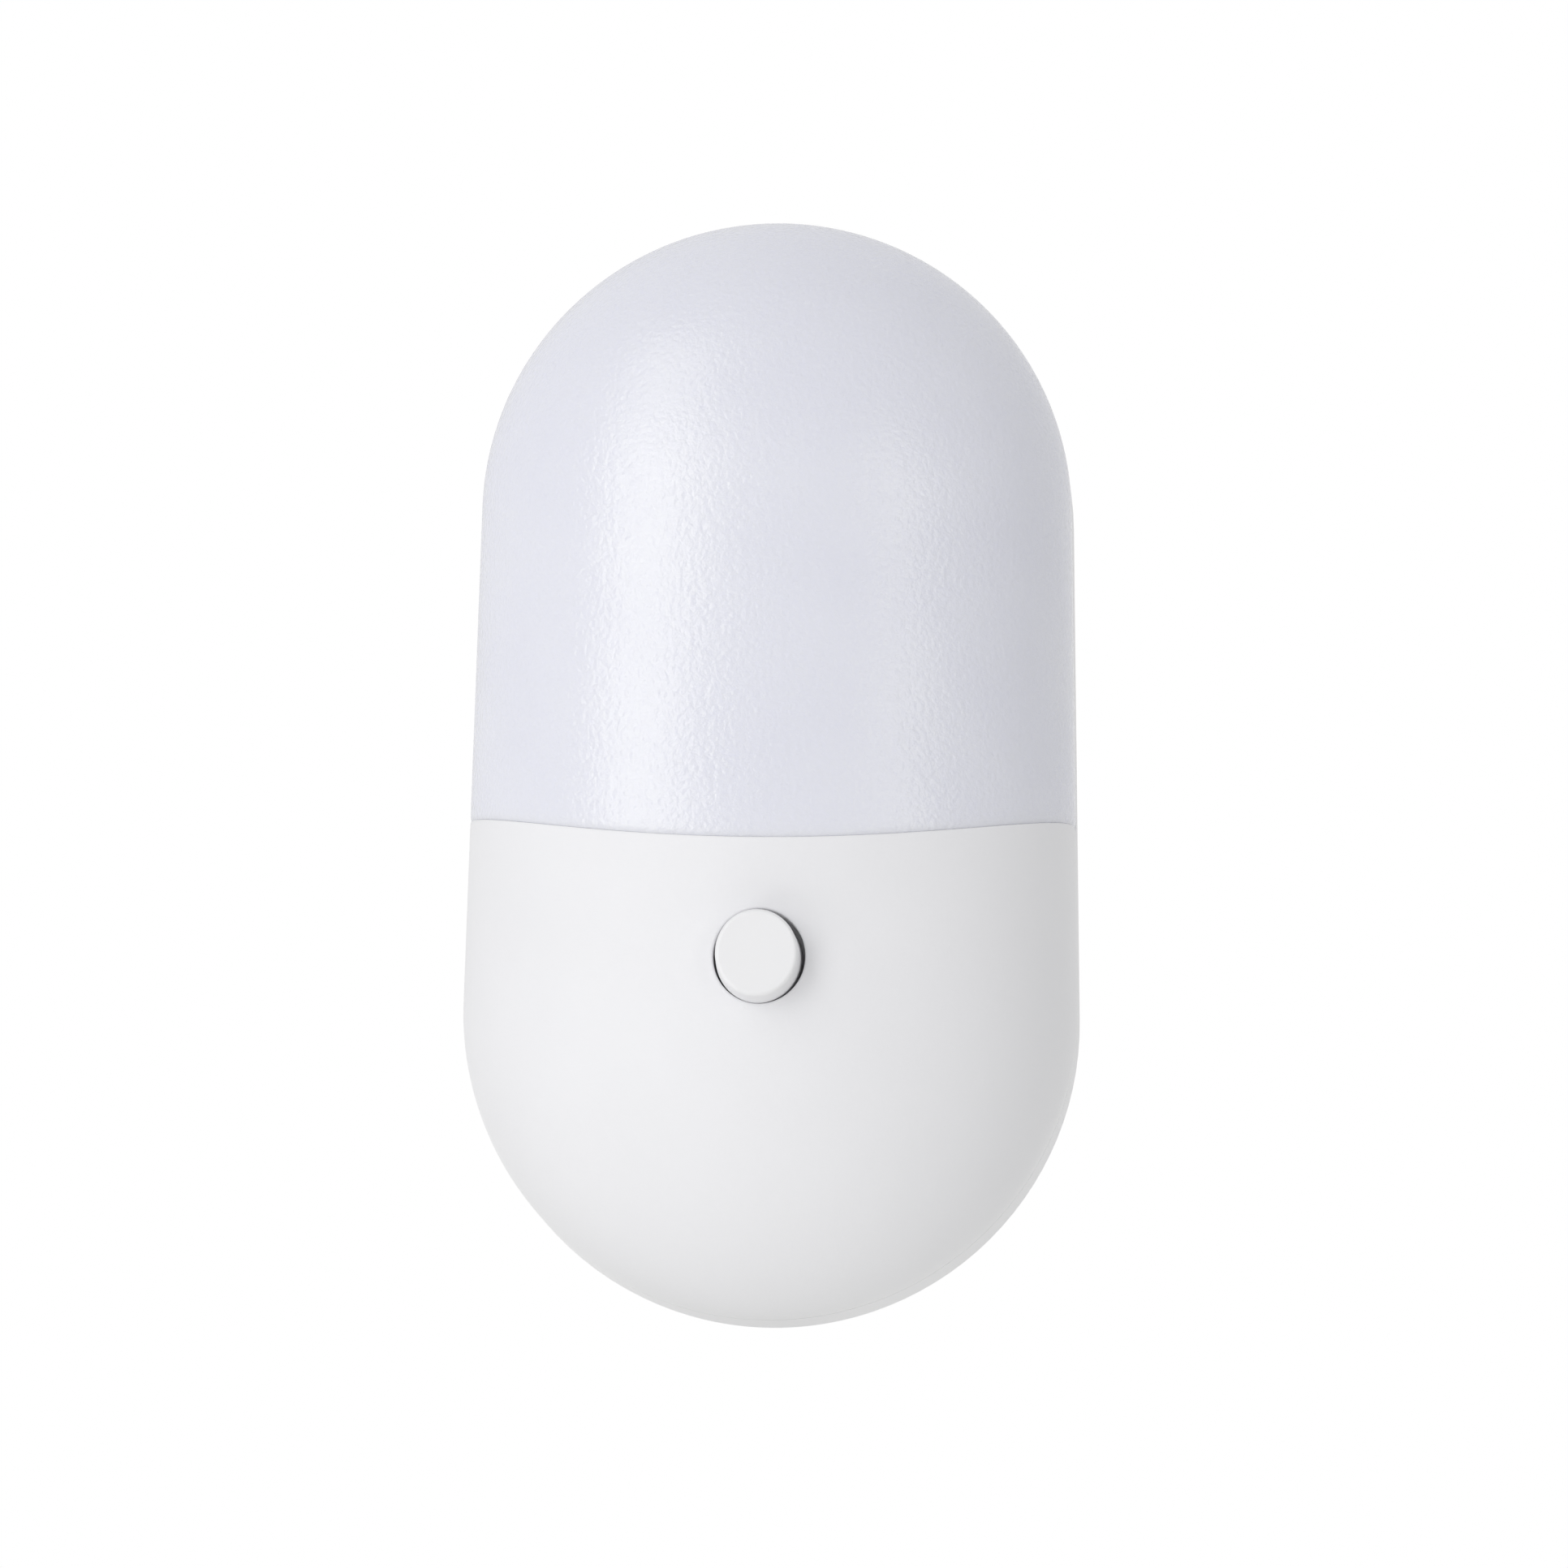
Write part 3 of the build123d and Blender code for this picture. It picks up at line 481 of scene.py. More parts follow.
# %% [markdown]
# ## The housing
# The lower front is a two-millimetre ABS shell. The button stands in a well with a guide collar behind
# it, a tongue stands up behind the lens so that no light leaks through the seam, and two bosses take the
# case screws. The shell's outer and inner faces are webs of points spun between the well and the edge
# loop. Rows crowd towards both ends, where the rounds are, by a cosine. Tongue and bosses are closed
# shapes of their own that reach into the wall. A boolean union would merge them, but it would break up
# the rows for no visible gain.

# %% Housing shell
shell_rows, well_rows = 76, 12
collar_wall, collar_length = 1.4, 2.4
housing_arc = seam_radius + seam_line / 2


def shell_of_housing():
    """Outer face, well, collar and inner face, all closed round the button, then rim and seam."""
    shares = (1 - np.cos(np.linspace(0, math.pi, shell_rows))) / 2
    x, z = edge_loop(housing_arc, 0.0, False)
    outer_x, outer_z = web(*ring_hub(x, z, hole_radius), x, z, shares)
    outer = outer_point(outer_x, dome_depth(outer_x, outer_z), outer_z, housing_arc, True)
    inner_x, inner_z = edge_loop(housing_arc, wall, False)
    collar_x, collar_z = ring_hub(x, z, hole_radius + collar_wall)
    behind_x, behind_z = web(collar_x, collar_z, inner_x, inner_z, shares)
    inner = place(behind_x, dome_depth(behind_x, behind_z, wall), behind_z)
    collar_back = float(dome_depth(0.0, button_z, wall)) - collar_length
    mouth_x, mouth_z = ring_hub(x, z, hole_radius)
    ends = np.stack([place(mouth_x, collar_back, mouth_z), place(collar_x, collar_back, collar_z)])
    deep = np.linspace(1, 0, well_rows)[:, None, None]
    well = ends[0] + (outer[0] - ends[0]) * deep
    back = np.concatenate([well, ends[1:], inner[:1]])
    return [grid(outer, True), grid(back, True), grid(inner, True),
            *rim_patches(housing_arc, wall, False, True), seam_patch(housing_arc, wall, True)]


print(f"housing's edge loop: {len(edge_loop(housing_arc, 0.0, False)[0])} points")

# %% Tongue, bosses and the whole housing
tongue_columns, boss_columns = 90, 48
boss_radius, boss_bore, boss_start, boss_bore_end = 3.0, 1.35, 7.85, 18.05
screw_head_radius = 2.4
case_screw_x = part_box("case_screws")[1].x / MM - screw_head_radius


def tongue_of_housing():
    """A strip behind the seam: a six-cornered profile carried along the arc from end to end."""
    front, back = lens_wall + fit_gap, lens_wall + fit_gap + tongue_thickness
    profile = [(seam_radius + tongue_root, back), (seam_radius - tongue_height, back),
               (seam_radius - tongue_height, front), (housing_arc, front),
               (housing_arc, wall / 2), (seam_radius + tongue_root, wall / 2)]
    end_x = seam_corner(seam_radius - tongue_height, back)[0]
    reach = end_x * np.sin(np.linspace(-1, 1, tongue_columns) * math.pi / 2)
    rows = []
    for arc_radius, inset in profile + profile[:1]:
        z = seam_center_z - np.sqrt(arc_radius ** 2 - reach ** 2)
        rows.append(place(reach, dome_depth(reach, z, inset), z))
    return bar(rows)


def boss_of_housing(side):
    """A tube for a case screw; its front end follows the middle of the wall."""
    turn = np.linspace(0, 2 * math.pi, boss_columns + 1)[:-1]
    centre = side * case_screw_x
    rings = []
    for radius, depth in [(0, None), (boss_radius, None), (boss_radius, boss_start), (boss_bore, boss_start),
                          (boss_bore, boss_bore_end), (0, boss_bore_end)]:
        x, z = centre + radius * np.cos(turn), radius * np.sin(turn)
        rings.append(place(x, dome_depth(x, z, wall / 2) if depth is None else depth, z))
    return [grid(np.stack(rings), True)]


housing = make_piece("housing_shell",
                     shell_of_housing() + tongue_of_housing() + boss_of_housing(-1) + boss_of_housing(1),
                     "case", ["front_housing"])

# %% [markdown]
# ## The lens
# The opal lens is the same kind of shell without a hole, so its web starts from one pole at the dome's
# middle. Four clips reach back from its wall into the cover. Each clip is one profile, carried along
# the case edge for eight millimetres.

# %% Lens shell
lens_rows, lens_pole_z = 80, 54.0
lens_arc = seam_radius - seam_line / 2


def shell_of_lens():
    """Outer and inner face from pole to loop, then rim and seam."""
    shares = np.sin(np.linspace(0, math.pi / 2, lens_rows))
    x, z = edge_loop(lens_arc, 0.0, True)
    outer_x, outer_z = web(0 * x, lens_pole_z + 0 * z, x, z, shares)
    outer = outer_point(outer_x, dome_depth(outer_x, outer_z), outer_z, lens_arc, False)
    inner_x, inner_z = edge_loop(lens_arc, lens_wall, True)
    behind_x, behind_z = web(0 * x, lens_pole_z + 0 * z, inner_x, inner_z, shares)
    inner = place(behind_x, dome_depth(behind_x, behind_z, lens_wall), behind_z)
    return [grid(outer, True), grid(inner, True),
            *rim_patches(lens_arc, lens_wall, True, False), seam_patch(lens_arc, lens_wall, False)]


print(f"lens's edge loop: {len(edge_loop(lens_arc, 0.0, True)[0])} points")

# %% Clips and the whole lens
clip_half_width, clip_thickness, clip_reach, clip_columns = 4.0, 1.3, 5.0, 13
clip_angle, clip_rise = 48.0, 14.0        # from the top round the arc, and above the seam's end
nib_height, nib_length = 0.65, 1.3
clip_top = side_depth + crown_depth / 4


def clip_profile():
    """Inset and depth round a clip and its nib; None is the end that is sunk in the lens's wall."""
    near, far = wall + fit_gap, wall + fit_gap + clip_thickness
    foot = rim_depth - clip_reach
    lead = nib_length / 2
    return [(near, None), (near, foot + nib_length), (wall - nib_height, foot + nib_length),
            (wall - nib_height, foot + lead), (near, foot), (far, foot), (far, None)]


def clip_of_lens(side, upper):
    """The profile carried along the round top, by an angle, or along the straight side, by a height."""
    along = np.linspace(-clip_half_width, clip_half_width, clip_columns)
    rows = []
    for inset, depth in clip_profile() + clip_profile()[:1]:
        if upper:
            angle = math.radians(clip_angle) + along / (top_radius - inset)
            x, z = (top_radius - inset) * np.sin(angle), top_z + (top_radius - inset) * np.cos(angle)
        else:
            z = seam_end_z + clip_rise + along
            x = half_width(z, inset)
        sunk = np.minimum(dome_depth(x, z, lens_wall / 2), clip_top)
        rows.append(place(side * x, sunk if depth is None else depth + 0 * x, z))
    return bar(rows)


clips = [patch for side in (-1, 1) for upper in (False, True) for patch in clip_of_lens(side, upper)]
diffuser = make_piece("opal_lens", shell_of_lens() + clips, "case", ["diffuser"])

# %% [markdown]
# ## The push button
# The cap is a turned shape: one profile of radius and depth, carried round the button's axis. Only the
# socket for the switch's stem is square, so its rings are stretched: a point on a square lies at the
# radius divided by the larger of its cosine and sine. Such a cap is held only by the switch behind it,
# so it never sits quite true. Where it leaves the well it hangs a quarter of a millimetre low and a
# little to the left, and its front tips back up. That makes the dark ring round it uneven and shows a
# crescent of its side. The cap is a trace taller than wide, and drafted: its front is smaller than its
# base, so that it leaves its mould. Shift and stretch are given at three depths, the back of the stem,
# the mouth of the well and the front, and every ring takes its own from between them. A Screw modifier
# could turn the profile too, but neither the square socket nor the lean would come out of it.

# %% The cap's sizes
cap_low, cap_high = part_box("push_button")
cap_front, stem_back = -cap_low.y / MM, -cap_high.y / MM
flange_radius = (cap_high.x - cap_low.x) / 2 / MM
flange_front = float(dome_depth(0.0, button_z, wall)) - collar_length - seat_gap
flange_thickness, stem_radius, cap_round = 1.2, 3.1, 0.4
socket_end, socket_half = -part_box("switch_plunger")[0].y / MM + seat_gap, 1.7
mouth_depth = float(dome_depth(0.0, button_z))
cap_fit = {                  # depth: shift in x, shift in z, width, height
    stem_back: (0.0, 0.0, 1.0, 1.0),
    mouth_depth: (-0.15, -0.25, 0.964, 1.025),
    cap_front: (-0.16, -0.02, 0.94, 1.0),
}
print(f"the cap reaches from {stem_back:.2f} to {cap_front:.2f} mm, the well opens at {mouth_depth:.2f} mm")

# %% Push button
cap_columns, face_rows, corner_rows, side_rows = 128, 9, 12, 9
face_share = 0.97            # where the flat face's last ring lies, as a share of its radius


def turned(profile, columns, z):
    """Rings of points about a line along the depth. A third value of 1 makes a ring square."""
    turn = np.linspace(0, 2 * math.pi, columns + 1)[:-1]
    radius, depth, square = (np.array(column, float)[:, None] for column in zip(*profile))
    stretch = 1 / np.maximum(np.abs(np.cos(turn)), np.abs(np.sin(turn)))
    reach = radius * np.where(square > 0, stretch, 1.0)
    return place(reach * np.cos(turn), depth, z + reach * np.sin(turn))


def cap_profile():
    """Face, rounded edge, side, flange, stem and socket."""
    corner = np.linspace(0, math.pi / 2, corner_rows)
    edge_radius = button_radius - cap_round * (1 - np.sin(corner))
    edge_depth = cap_front - cap_round * (1 - np.cos(corner))
    face_radius = np.linspace(0, face_share, face_rows) * (button_radius - cap_round)
    face = [(radius, cap_front, 0) for radius in face_radius]
    rounds = [(radius, depth, 0) for radius, depth in zip(edge_radius, edge_depth)]
    side_depths = np.linspace(cap_front - cap_round, flange_front, side_rows)[1:]
    side = [(button_radius, depth, 0) for depth in side_depths]
    flange_back = flange_front - flange_thickness
    back = [(flange_radius, flange_front, 0), (flange_radius, flange_back, 0), (stem_radius, flange_back, 0),
            (stem_radius, stem_back, 0), (socket_half, stem_back, 1), (socket_half, socket_end, 1),
            (0, socket_end, 0)]
    return face + rounds + side + back


cap = turned(cap_profile(), cap_columns, button_z)
fits = zip(*cap_fit.values())
shift_x, shift_z, wide, tall = (np.interp(-cap[..., 1], list(cap_fit), column) for column in fits)
cap[..., 0] = shift_x + wide * cap[..., 0]
cap[..., 2] = button_z + shift_z + tall * (cap[..., 2] - button_z)
button = make_piece("button_cap", [grid(cap, True)], "button", ["push_button"])

# %% [markdown]
# ## Materials
# Every finish starts from the real one: what it is made of and how its surface came about. Colours are
# written as sRGB hex values, as a colour chart gives them, and one function turns them to linear light.
# Patterns read object coordinates, so a noise whose scale is 1 / size has spots of that size in metres.
# The pieces sit where the frame has them, so the same coordinates serve a new piece and a kept one. A
# picture could carry such a pattern, but it would need unwrapping and would blur close up. A Mix node has
# sockets for each kind of data under the same names, so those for colours are picked by number.

# %% Colour and pattern helpers
FACTOR, FIRST, SECOND, MIXED = 0, 6, 7, 2  # a Mix node's sockets for colours
noise_low, noise_high = 0.3, 0.7           # most of a noise lies between these


def linear(hex_colour):
    """sRGB hex to linear: c / 12.92 below 0.04045, else ((c + 0.055) / 1.055) ^ 2.4."""
    parts = [int(hex_colour[i:i + 2], 16) / 255 for i in (1, 3, 5)]
    light = [c / 12.92 if c <= 0.04045 else ((c + 0.055) / 1.055) ** 2.4 for c in parts]
    return (*light, 1.0)


def blank_material(name):
    """A new material, its emptied tree and the object coordinates that its patterns read."""
    material = bpy.data.materials.new(name)
    material.use_nodes = True
    material.node_tree.nodes.clear()
    coordinates = add_node(material.node_tree, "ShaderNodeTexCoord").outputs["Object"]
    return material, material.node_tree, coordinates


def spots(tree, coordinates, size, low, high, drawn=(1, 1, 1)):
    """A value from low to high in soft spots of size millimetres, drawn out along the axes by drawn."""
    scaled = add_node(tree, "ShaderNodeMapping", {"Vector": coordinates, "Scale": [1 / d for d in drawn]})
    noise = add_node(tree, "ShaderNodeTexNoise",
                     {"Vector": scaled.outputs[0], "Scale": 1 / (size * MM), "Detail": 3.0})
    levels = {"From Min": noise_low, "From Max": noise_high, "To Min": low, "To Max": high}
    return add_node(tree, "ShaderNodeMapRange", {"Value": noise.outputs["Fac"], **levels}).outputs[0]


def finish_material(material, tree, inputs, relief, relief_mm):
    """Feed the shader, with a relief pattern that stands relief_mm high."""
    bump = add_node(tree, "ShaderNodeBump", {"Height": relief, "Strength": 1.0, "Distance": relief_mm * MM})
    shader = add_node(tree, "ShaderNodeBsdfPrincipled", {**inputs, "Normal": bump.outputs["Normal"]})
    add_node(tree, "ShaderNodeOutputMaterial", {"Surface": shader.outputs[0]})
    return material


print(f"a middle grey, #808080, is {linear('#808080')[0]:.3f} in linear light")

# %% [markdown]
# ### Opal polycarbonate
# The lens is moulded from milky polycarbonate in a spark-eroded tool. Spark erosion leaves tiny round
# craters, which spread a reflection into a satin band with a fine sparkle in it. The real craters are
# about a tenth of a millimetre wide; they are drawn six times as coarse, so that they show, and the
# patches between them vary in gloss. The milk in the plastic lets light wander a millimetre or two under
# the skin, which softens every shadow. It is a cool, slightly lilac white beside the housing, while the
# clear skin reflects a trace warmer, so that the highlights come out neutral.

# %% Lens material
crater_mm, patch_mm, flow_mm = 0.6, 0.5, 14.0
lens_roughness, lens_relief_mm = (0.12, 0.24), 0.032
milk_share, milk_reach_mm = 0.35, 1.5


def opal_polycarbonate():
    """Milky polycarbonate: smooth Voronoi cells for the craters, noise for the patches between them."""
    material, tree, coordinates = blank_material("opal polycarbonate, spark-eroded grain")
    craters = add_node(tree, "ShaderNodeTexVoronoi",
                       {"Vector": coordinates, "Scale": 1 / (crater_mm * MM)}, feature="SMOOTH_F1")
    patches = spots(tree, coordinates, patch_mm, 0.0, 1.0)
    grain = add_node(tree, "ShaderNodeMath", {0: craters.outputs["Distance"], 1: patches}, operation="ADD")
    flow = spots(tree, coordinates, flow_mm, 0.0, 1.0)
    colour = add_node(tree, "ShaderNodeMix",
                      {FACTOR: flow, FIRST: linear("#E4E5F0"), SECOND: linear("#E7E8F2")},
                      data_type="RGBA")
    inputs = {
        "Base Color": colour.outputs[MIXED],
        "Roughness": spots(tree, coordinates, patch_mm, *lens_roughness),
        "IOR": 1.585,
        "Specular Tint": linear("#FFFFEA"),
        "Subsurface Weight": milk_share,
        "Subsurface Radius": (1.0, 1.0, 1.1),
        "Subsurface Scale": milk_reach_mm * MM,
    }
    return finish_material(material, tree, inputs, grain.outputs[0], lens_relief_mm)


diffuser.data.materials.append(opal_polycarbonate())
print("lens finish:", diffuser.data.materials[0].name)

# %% [markdown]
# ### Moulded plastics
# Housing, cover and button are white ABS. The case's tool is blasted to a fine, dull texture, so the
# highlight is only a broad glow, and the tiny peaks pale its edges as a sheen does. The button's small
# tool is left smoother, and it shines a little more. The plastics inside differ from them only in
# colour, gloss and grain, so one function makes them all: a mould grain in relief and gloss, and a faint
# cloud in the colour, as the melt leaves where it flowed. Real grain is finer, a tenth of a millimetre or
# less, and is drawn two or three times as coarse so that it shows.

# %% Case and button materials
cloud_grains, gloss_grains = 40, 2         # how many grains wide a cloud and a patch of gloss are
gloss_change = 0.05
plastic_milk_mm = 0.6


def moulded_plastic(name, colour, shade, roughness, grain_mm, relief_mm, ior=1.53, milk=0.0, bloom=0.0):
    """Moulded plastic. Milk is the share of light that scatters under the skin; bloom pales its edges."""
    material, tree, coordinates = blank_material(name)
    flow = spots(tree, coordinates, cloud_grains * grain_mm, 0.0, 1.0)
    colours = add_node(tree, "ShaderNodeMix",
                       {FACTOR: flow, FIRST: linear(colour), SECOND: linear(shade)}, data_type="RGBA")
    inputs = {
        "Base Color": colours.outputs[MIXED],
        "Roughness": spots(tree, coordinates, gloss_grains * grain_mm,
                           roughness - gloss_change, roughness + gloss_change),
        "IOR": ior,
        "Sheen Weight": bloom,
        "Sheen Roughness": 0.5,
        "Subsurface Weight": milk,
        "Subsurface Radius": (1.0, 0.95, 0.9),
        "Subsurface Scale": plastic_milk_mm * MM,
    }
    return finish_material(material, tree, inputs, spots(tree, coordinates, grain_mm, 0.0, 1.0), relief_mm)


case_abs = moulded_plastic("white ABS, blasted mould texture", "#EEEEF1", "#ECECEF", 0.56, 0.30, 0.008,
                           bloom=0.6)
button_abs = moulded_plastic("white ABS, satin mould", "#EFEFF1", "#EEEEF0", 0.42, 0.25, 0.004)
housing.data.materials.append(case_abs)
button.data.materials.append(button_abs)
print("case finishes:", case_abs.name, "/", button_abs.name)

# %% [markdown]
# ### Metals
# Rolling and drawing leave fine lines along the metal, and tumbling leaves short ones. They show in the
# gloss rather than in the colour, and a faint stain says that hands have touched it. The blades are
# brass plated with nickel, a warmer and shinier grey than the zinc on the steel screws. Spring and latch
# are drawn wire, dark and smooth. The terminals are stamped from tinned copper, and the switch's contact
# strips are bare copper, the one reddish metal here. The marks too are drawn coarser than real ones.

# %% Metal finishes
stain_mm = 2.5
gloss_marks = 2                            # how many marks wide a patch of gloss is
shinier, duller = 0.06, 0.08               # how far its roughness goes below and above


def worked_metal(name, colour, stain, roughness, mark_mm, drawn, relief_mm=0.002):
    """Bare or plated metal whose tool marks are mark_mm wide and drawn out along the axes by drawn."""
    material, tree, coordinates = blank_material(name)
    tarnish = spots(tree, coordinates, stain_mm, 0.0, 1.0)
    colours = add_node(tree, "ShaderNodeMix",
                       {FACTOR: tarnish, FIRST: linear(colour), SECOND: linear(stain)}, data_type="RGBA")
    inputs = {
        "Base Color": colours.outputs[MIXED],
        "Roughness": spots(tree, coordinates, gloss_marks * mark_mm,
                           roughness - shinier, roughness + duller, drawn),
        "Metallic": 1.0,
    }
    return finish_material(material, tree, inputs, spots(tree, coordinates, mark_mm, 0, 1, drawn), relief_mm)


nickel = worked_metal("nickel-plated brass, rolled", "#D6D2CA", "#CBC5B9", 0.2, 0.08, (1, 30, 1))
zinc = worked_metal("zinc-plated steel, tumbled", "#BCBDBE", "#C8C6BE", 0.34, 0.15, (1, 3, 1), 0.004)
spring_steel = worked_metal("spring steel wire, drawn", "#A9AAAC", "#9C9DA0", 0.28, 0.05, (1, 8, 8))
tinned = worked_metal("tinned copper, stamped", "#D5D4D0", "#C6C4BE", 0.3, 0.1, (1, 5, 1))
copper = worked_metal("contact copper, rolled", "#C98F62", "#B5794D", 0.3, 0.06, (1, 1, 12))
print("metals:", [m.name for m in (nickel, zinc, spring_steel, tinned, copper)])

# %% [markdown]
# ### Boards and soldered parts
# A board is copper under a coat of solder mask: the tracks show as lighter, slightly raised lines. A
# soldered part is two materials in one mesh, a coated body and tinned leads. Its leads lie beyond the
# body along one axis, so a mask by place tells them apart, and rings of colour on a resistor or the
# pale stripe on a capacitor's sleeve are such masks too. A real layout could be drawn track by track, but
# the boards lie inside the closed case, so rows of tracks at the right pitch are enough.

# %% Board finish
track_length, track_width = 2.5, 0.12      # as shares of the pitch
mask_roughness, mask_patch_mm = (0.28, 0.4), 0.5
track_relief_mm = 0.03


def circuit_board(name, mask, track, pitch_mm):
    """Solder mask over tracks that run in rows pitch_mm apart; the board's plane is turned to face up."""
    material, tree, coordinates = blank_material(name)
    turned_up = add_node(tree, "ShaderNodeMapping", {"Vector": coordinates, "Rotation": (math.pi / 2, 0, 0)})
    tracks = add_node(tree, "ShaderNodeTexBrick", {
        "Vector": turned_up.outputs[0], "Scale": 1.0, "Brick Width": track_length * pitch_mm * MM,
        "Row Height": pitch_mm * MM, "Mortar Size": track_width * pitch_mm * MM, "Mortar Smooth": 0.2,
        "Color1": linear(mask), "Color2": linear(mask), "Mortar": linear(track)})
    inputs = {
        "Base Color": tracks.outputs["Color"],
        "Roughness": spots(tree, coordinates, mask_patch_mm, *mask_roughness),
        "IOR": 1.5,
    }
    return finish_material(material, tree, inputs, tracks.outputs["Fac"], track_relief_mm)


green_board = circuit_board("glass-epoxy board, green mask", "#2C6B3B", "#4A9455", 1.6)
white_board = circuit_board("aluminium board, white mask", "#EFEFEC", "#DFE0DC", 3.8)
print("boards:", green_board.name, "/", white_board.name)

# %% Finish of soldered parts
tin_colour, tin_roughness = "#D9D8D4", 0.28
coat_relief_mm = 0.01


def beyond(tree, coordinates, axis, centre, half, mirrored=False):
    """1 where |place - centre| > half, in millimetres. Mirrored counts the place from the middle plane."""
    value = add_node(tree, "ShaderNodeSeparateXYZ", {0: coordinates}).outputs[axis]
    if mirrored:
        value = add_node(tree, "ShaderNodeMath", {0: value}, operation="ABSOLUTE").outputs[0]
    offset = add_node(tree, "ShaderNodeMath", {0: value, 1: centre * MM}, operation="SUBTRACT").outputs[0]
    span = add_node(tree, "ShaderNodeMath", {0: offset}, operation="ABSOLUTE").outputs[0]
    return add_node(tree, "ShaderNodeMath", {0: span, 1: half * MM}, operation="GREATER_THAN").outputs[0]


def soldered_part(name, colour, shade, roughness, grain_mm, leads, bands=()):
    """A coated body with bands of colour, and tinned leads where the mask leads is 1."""
    material, tree, coordinates = blank_material(name)
    grain = spots(tree, coordinates, grain_mm, 0.0, 1.0)
    body = add_node(tree, "ShaderNodeMix",
                    {FACTOR: grain, FIRST: linear(colour), SECOND: linear(shade)}, data_type="RGBA")
    for place_of_band, band in bands:
        off_band = beyond(tree, coordinates, *place_of_band)
        body = add_node(tree, "ShaderNodeMix",
                        {FACTOR: off_band, FIRST: linear(band), SECOND: body.outputs[MIXED]},
                        data_type="RGBA")
    lead = beyond(tree, coordinates, *leads)
    whole = add_node(tree, "ShaderNodeMix",
                     {FACTOR: lead, FIRST: body.outputs[MIXED], SECOND: linear(tin_colour)},
                     data_type="RGBA")
    gloss = add_node(tree, "ShaderNodeMapRange",
                     {"Value": lead, "To Min": roughness, "To Max": tin_roughness})
    inputs = {
        "Base Color": whole.outputs[MIXED],
        "Metallic": lead,
        "Roughness": gloss.outputs["Result"],
    }
    return finish_material(material, tree, inputs, grain, coat_relief_mm)


middle = {name: sum(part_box(name), Vector()) / 2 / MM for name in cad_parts}
half_size = {name: (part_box(name)[1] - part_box(name)[0]) / 2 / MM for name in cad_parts}
board_front = -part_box("driver_board")[0].y / MM
print(f"driver board front at {board_front:.1f} mm")

# %% Where leads and bands lie
far = 100.0                                # a span so wide that only its near end counts
behind_board = ("Y", -board_front - far, far)
foot_length = 0.9
stripe_offset, stripe_half, can_top_half = 3.4, 1.1, 0.6
stripe = ("X", middle["electrolytic_capacitor"].x + stripe_offset, stripe_half)
can_top = ("Y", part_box("electrolytic_capacitor")[0].y / MM, can_top_half)
brown, black, yellow, gold = "#6B3F22", "#1B1B1B", "#C8B13A", "#C9A24A"
resistor_x, resistor_half, ring_half = middle["fusible_resistor"].x, 4.0, 0.4
rings = [(("X", resistor_x + offset, ring_half), colour) for offset, colour in
         ((-2.4, brown), (-1.1, black), (0.2, black), (2.2, gold))]
bleed_x, bleed_half, bleed_ring_half = 9.9, 2.8, 0.28
bleed_rings = [(("X", bleed_x + offset, bleed_ring_half, True), colour) for offset, colour in
               ((-1.7, brown), (-0.8, black), (0.1, yellow), (1.6, gold))]


def past_feet(name):
    """Leads that leave a moulded package at both its ends along Z."""
    return "Z", middle[name].z, half_size[name].z - foot_length


print("rings on a resistor:", len(rings), "and on each bleed resistor:", len(bleed_rings))

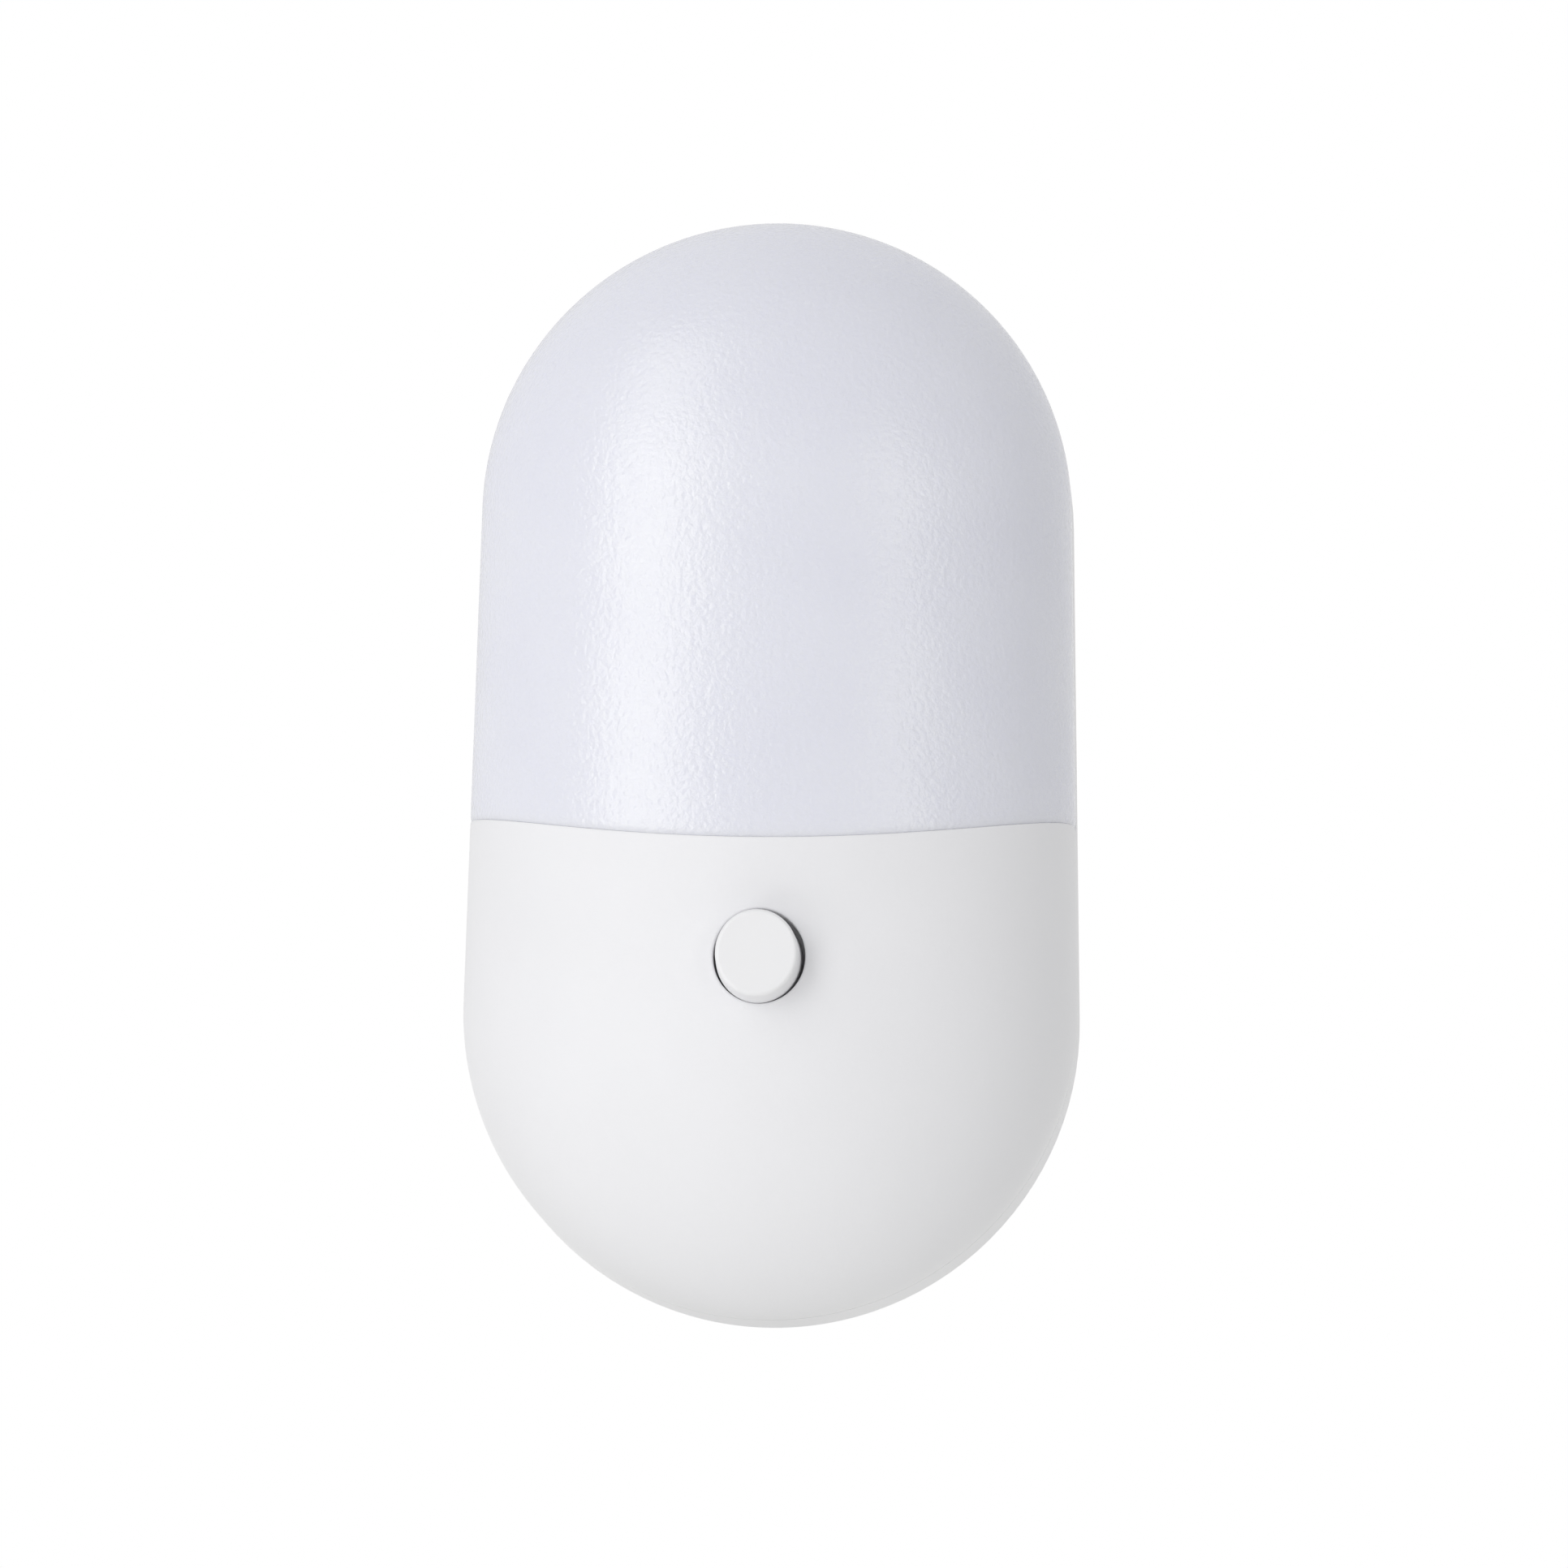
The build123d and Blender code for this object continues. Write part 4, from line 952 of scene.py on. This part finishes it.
# %% Finish of each kept piece
black_nylon = moulded_plastic("black nylon, glass-filled", "#1D1D1F", "#242426", 0.5, 0.2, 0.006)
finishes = {
    "back_cover": case_abs,
    "plug_blade_left": nickel,
    "plug_blade_right": nickel,
    "case_screws": zinc,
    "board_screws": zinc,
    "clamp_screws": zinc,
    "led_screws": zinc,
    "switch_case": black_nylon,
    "switch_base": black_nylon,
    "switch_plunger": moulded_plastic("natural acetal", "#E3E1D8", "#DEDBD1", 0.36, 0.2, 0.003, milk=0.2),
    "switch_spring": spring_steel,
    "switch_latch": spring_steel,
    "switch_terminals": tinned,
    "switch_bridges": copper,
    "driver_board": green_board,
    "led_board": white_board,
    "led_carrier": moulded_plastic("white reflector polycarbonate", "#F2F2F1", "#EFEFED", 0.45, 0.3, 0.004),
    "led_packages": moulded_plastic("white package resin", "#ECEAE2", "#E7E4DA", 0.4, 0.15, 0.003),
    "led_phosphors": moulded_plastic("phosphor silicone", "#EED25A", "#E7C645", 0.25, 0.06, 0.003,
                                     ior=1.41, milk=0.3),
    "blade_clamp": moulded_plastic("cream polycarbonate", "#E6E5E0", "#E1E0DA", 0.4, 0.25, 0.005,
                                   ior=1.585),
    "live_wire": moulded_plastic("black PVC insulation", "#1F1F20", "#27272A", 0.42, 0.3, 0.006),
    "neutral_wire": moulded_plastic("white PVC insulation", "#EDEDE9", "#E6E6E1", 0.42, 0.3, 0.006),
    "led_wire_positive": moulded_plastic("red PVC insulation", "#B3241D", "#A81F19", 0.42, 0.3, 0.006),
    "led_wire_negative": moulded_plastic("black PVC lead", "#202021", "#29292B", 0.42, 0.3, 0.006),
    "film_capacitor": soldered_part("yellow epoxy box", "#E0CB6A", "#D9C35E", 0.45, 0.25, behind_board),
    "electrolytic_capacitor": soldered_part("shrunk PVC sleeve", "#26293F", "#2C304A", 0.3, 0.4,
                                            behind_board, [(stripe, "#B9BDC9"), (can_top, "#C9CACC")]),
    "bridge_rectifier": soldered_part("moulded epoxy bridge", "#222223", "#2A2A2B", 0.55, 0.12,
                                      past_feet("bridge_rectifier")),
    "driver_chip": soldered_part("moulded epoxy chip", "#222223", "#2A2A2B", 0.55, 0.12,
                                 past_feet("driver_chip")),
    "fusible_resistor": soldered_part("green cement coat", "#86AD8C", "#7AA281", 0.6, 0.2,
                                      ("X", resistor_x, resistor_half), rings),
    "bleed_resistors": soldered_part("tan lacquer, dipped", "#DCC9A8", "#D4BF9B", 0.35, 0.2,
                                     ("X", bleed_x, bleed_half, True), bleed_rings),
    "varistor": soldered_part("blue epoxy, dipped", "#4F71AD", "#486AA6", 0.3, 0.5, behind_board),
}
for name, material in finishes.items():
    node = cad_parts[name]
    node.data.materials.clear()
    node.data.materials.append(material)
new_pieces = {"front_housing", "diffuser", "push_button"}
print("finished:", len(finishes), "left plain:", sorted(set(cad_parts) - set(finishes) - new_pieces))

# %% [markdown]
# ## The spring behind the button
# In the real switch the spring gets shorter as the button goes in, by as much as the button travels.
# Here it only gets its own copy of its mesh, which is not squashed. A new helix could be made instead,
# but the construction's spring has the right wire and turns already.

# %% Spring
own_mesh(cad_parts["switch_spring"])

# %% [markdown]
# ## The floor
# A plain pale sheet, far enough down to stay out of the shot. It isn't part of the object, so it is
# marked as stage.

# %% Floor
floor_drop, floor_size = 1200.0, 22000.0
corners = np.array([[-1, -1], [1, -1], [1, 1], [-1, 1]]) * floor_size / 2
floor_height = cad_box[0].z / MM - floor_drop
floor_points = np.column_stack([corners, np.full(4, floor_height)]) * MM
floor_mesh = bpy.data.meshes.new("floor")
floor_mesh.from_pydata(floor_points.tolist(), [], [[0, 1, 2, 3]])
floor = link(floor_mesh, "floor")
floor_mesh.materials.append(moulded_plastic("pale matte sheet", "#F4F4F2", "#F2F2F0", 0.8, 1.5, 0.01))
floor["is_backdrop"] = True
print(f"floor {floor_size / 1000:.0f} m wide, {floor_drop / 1000:.1f} m below the case")

# %% Compare the boxes and finish
visual_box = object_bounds()
growth = [round((v - c) / MM, 3) for a, b in zip(cad_box, visual_box) for c, v in zip(a, b)]
print("visual box less construction box, mm:", growth)
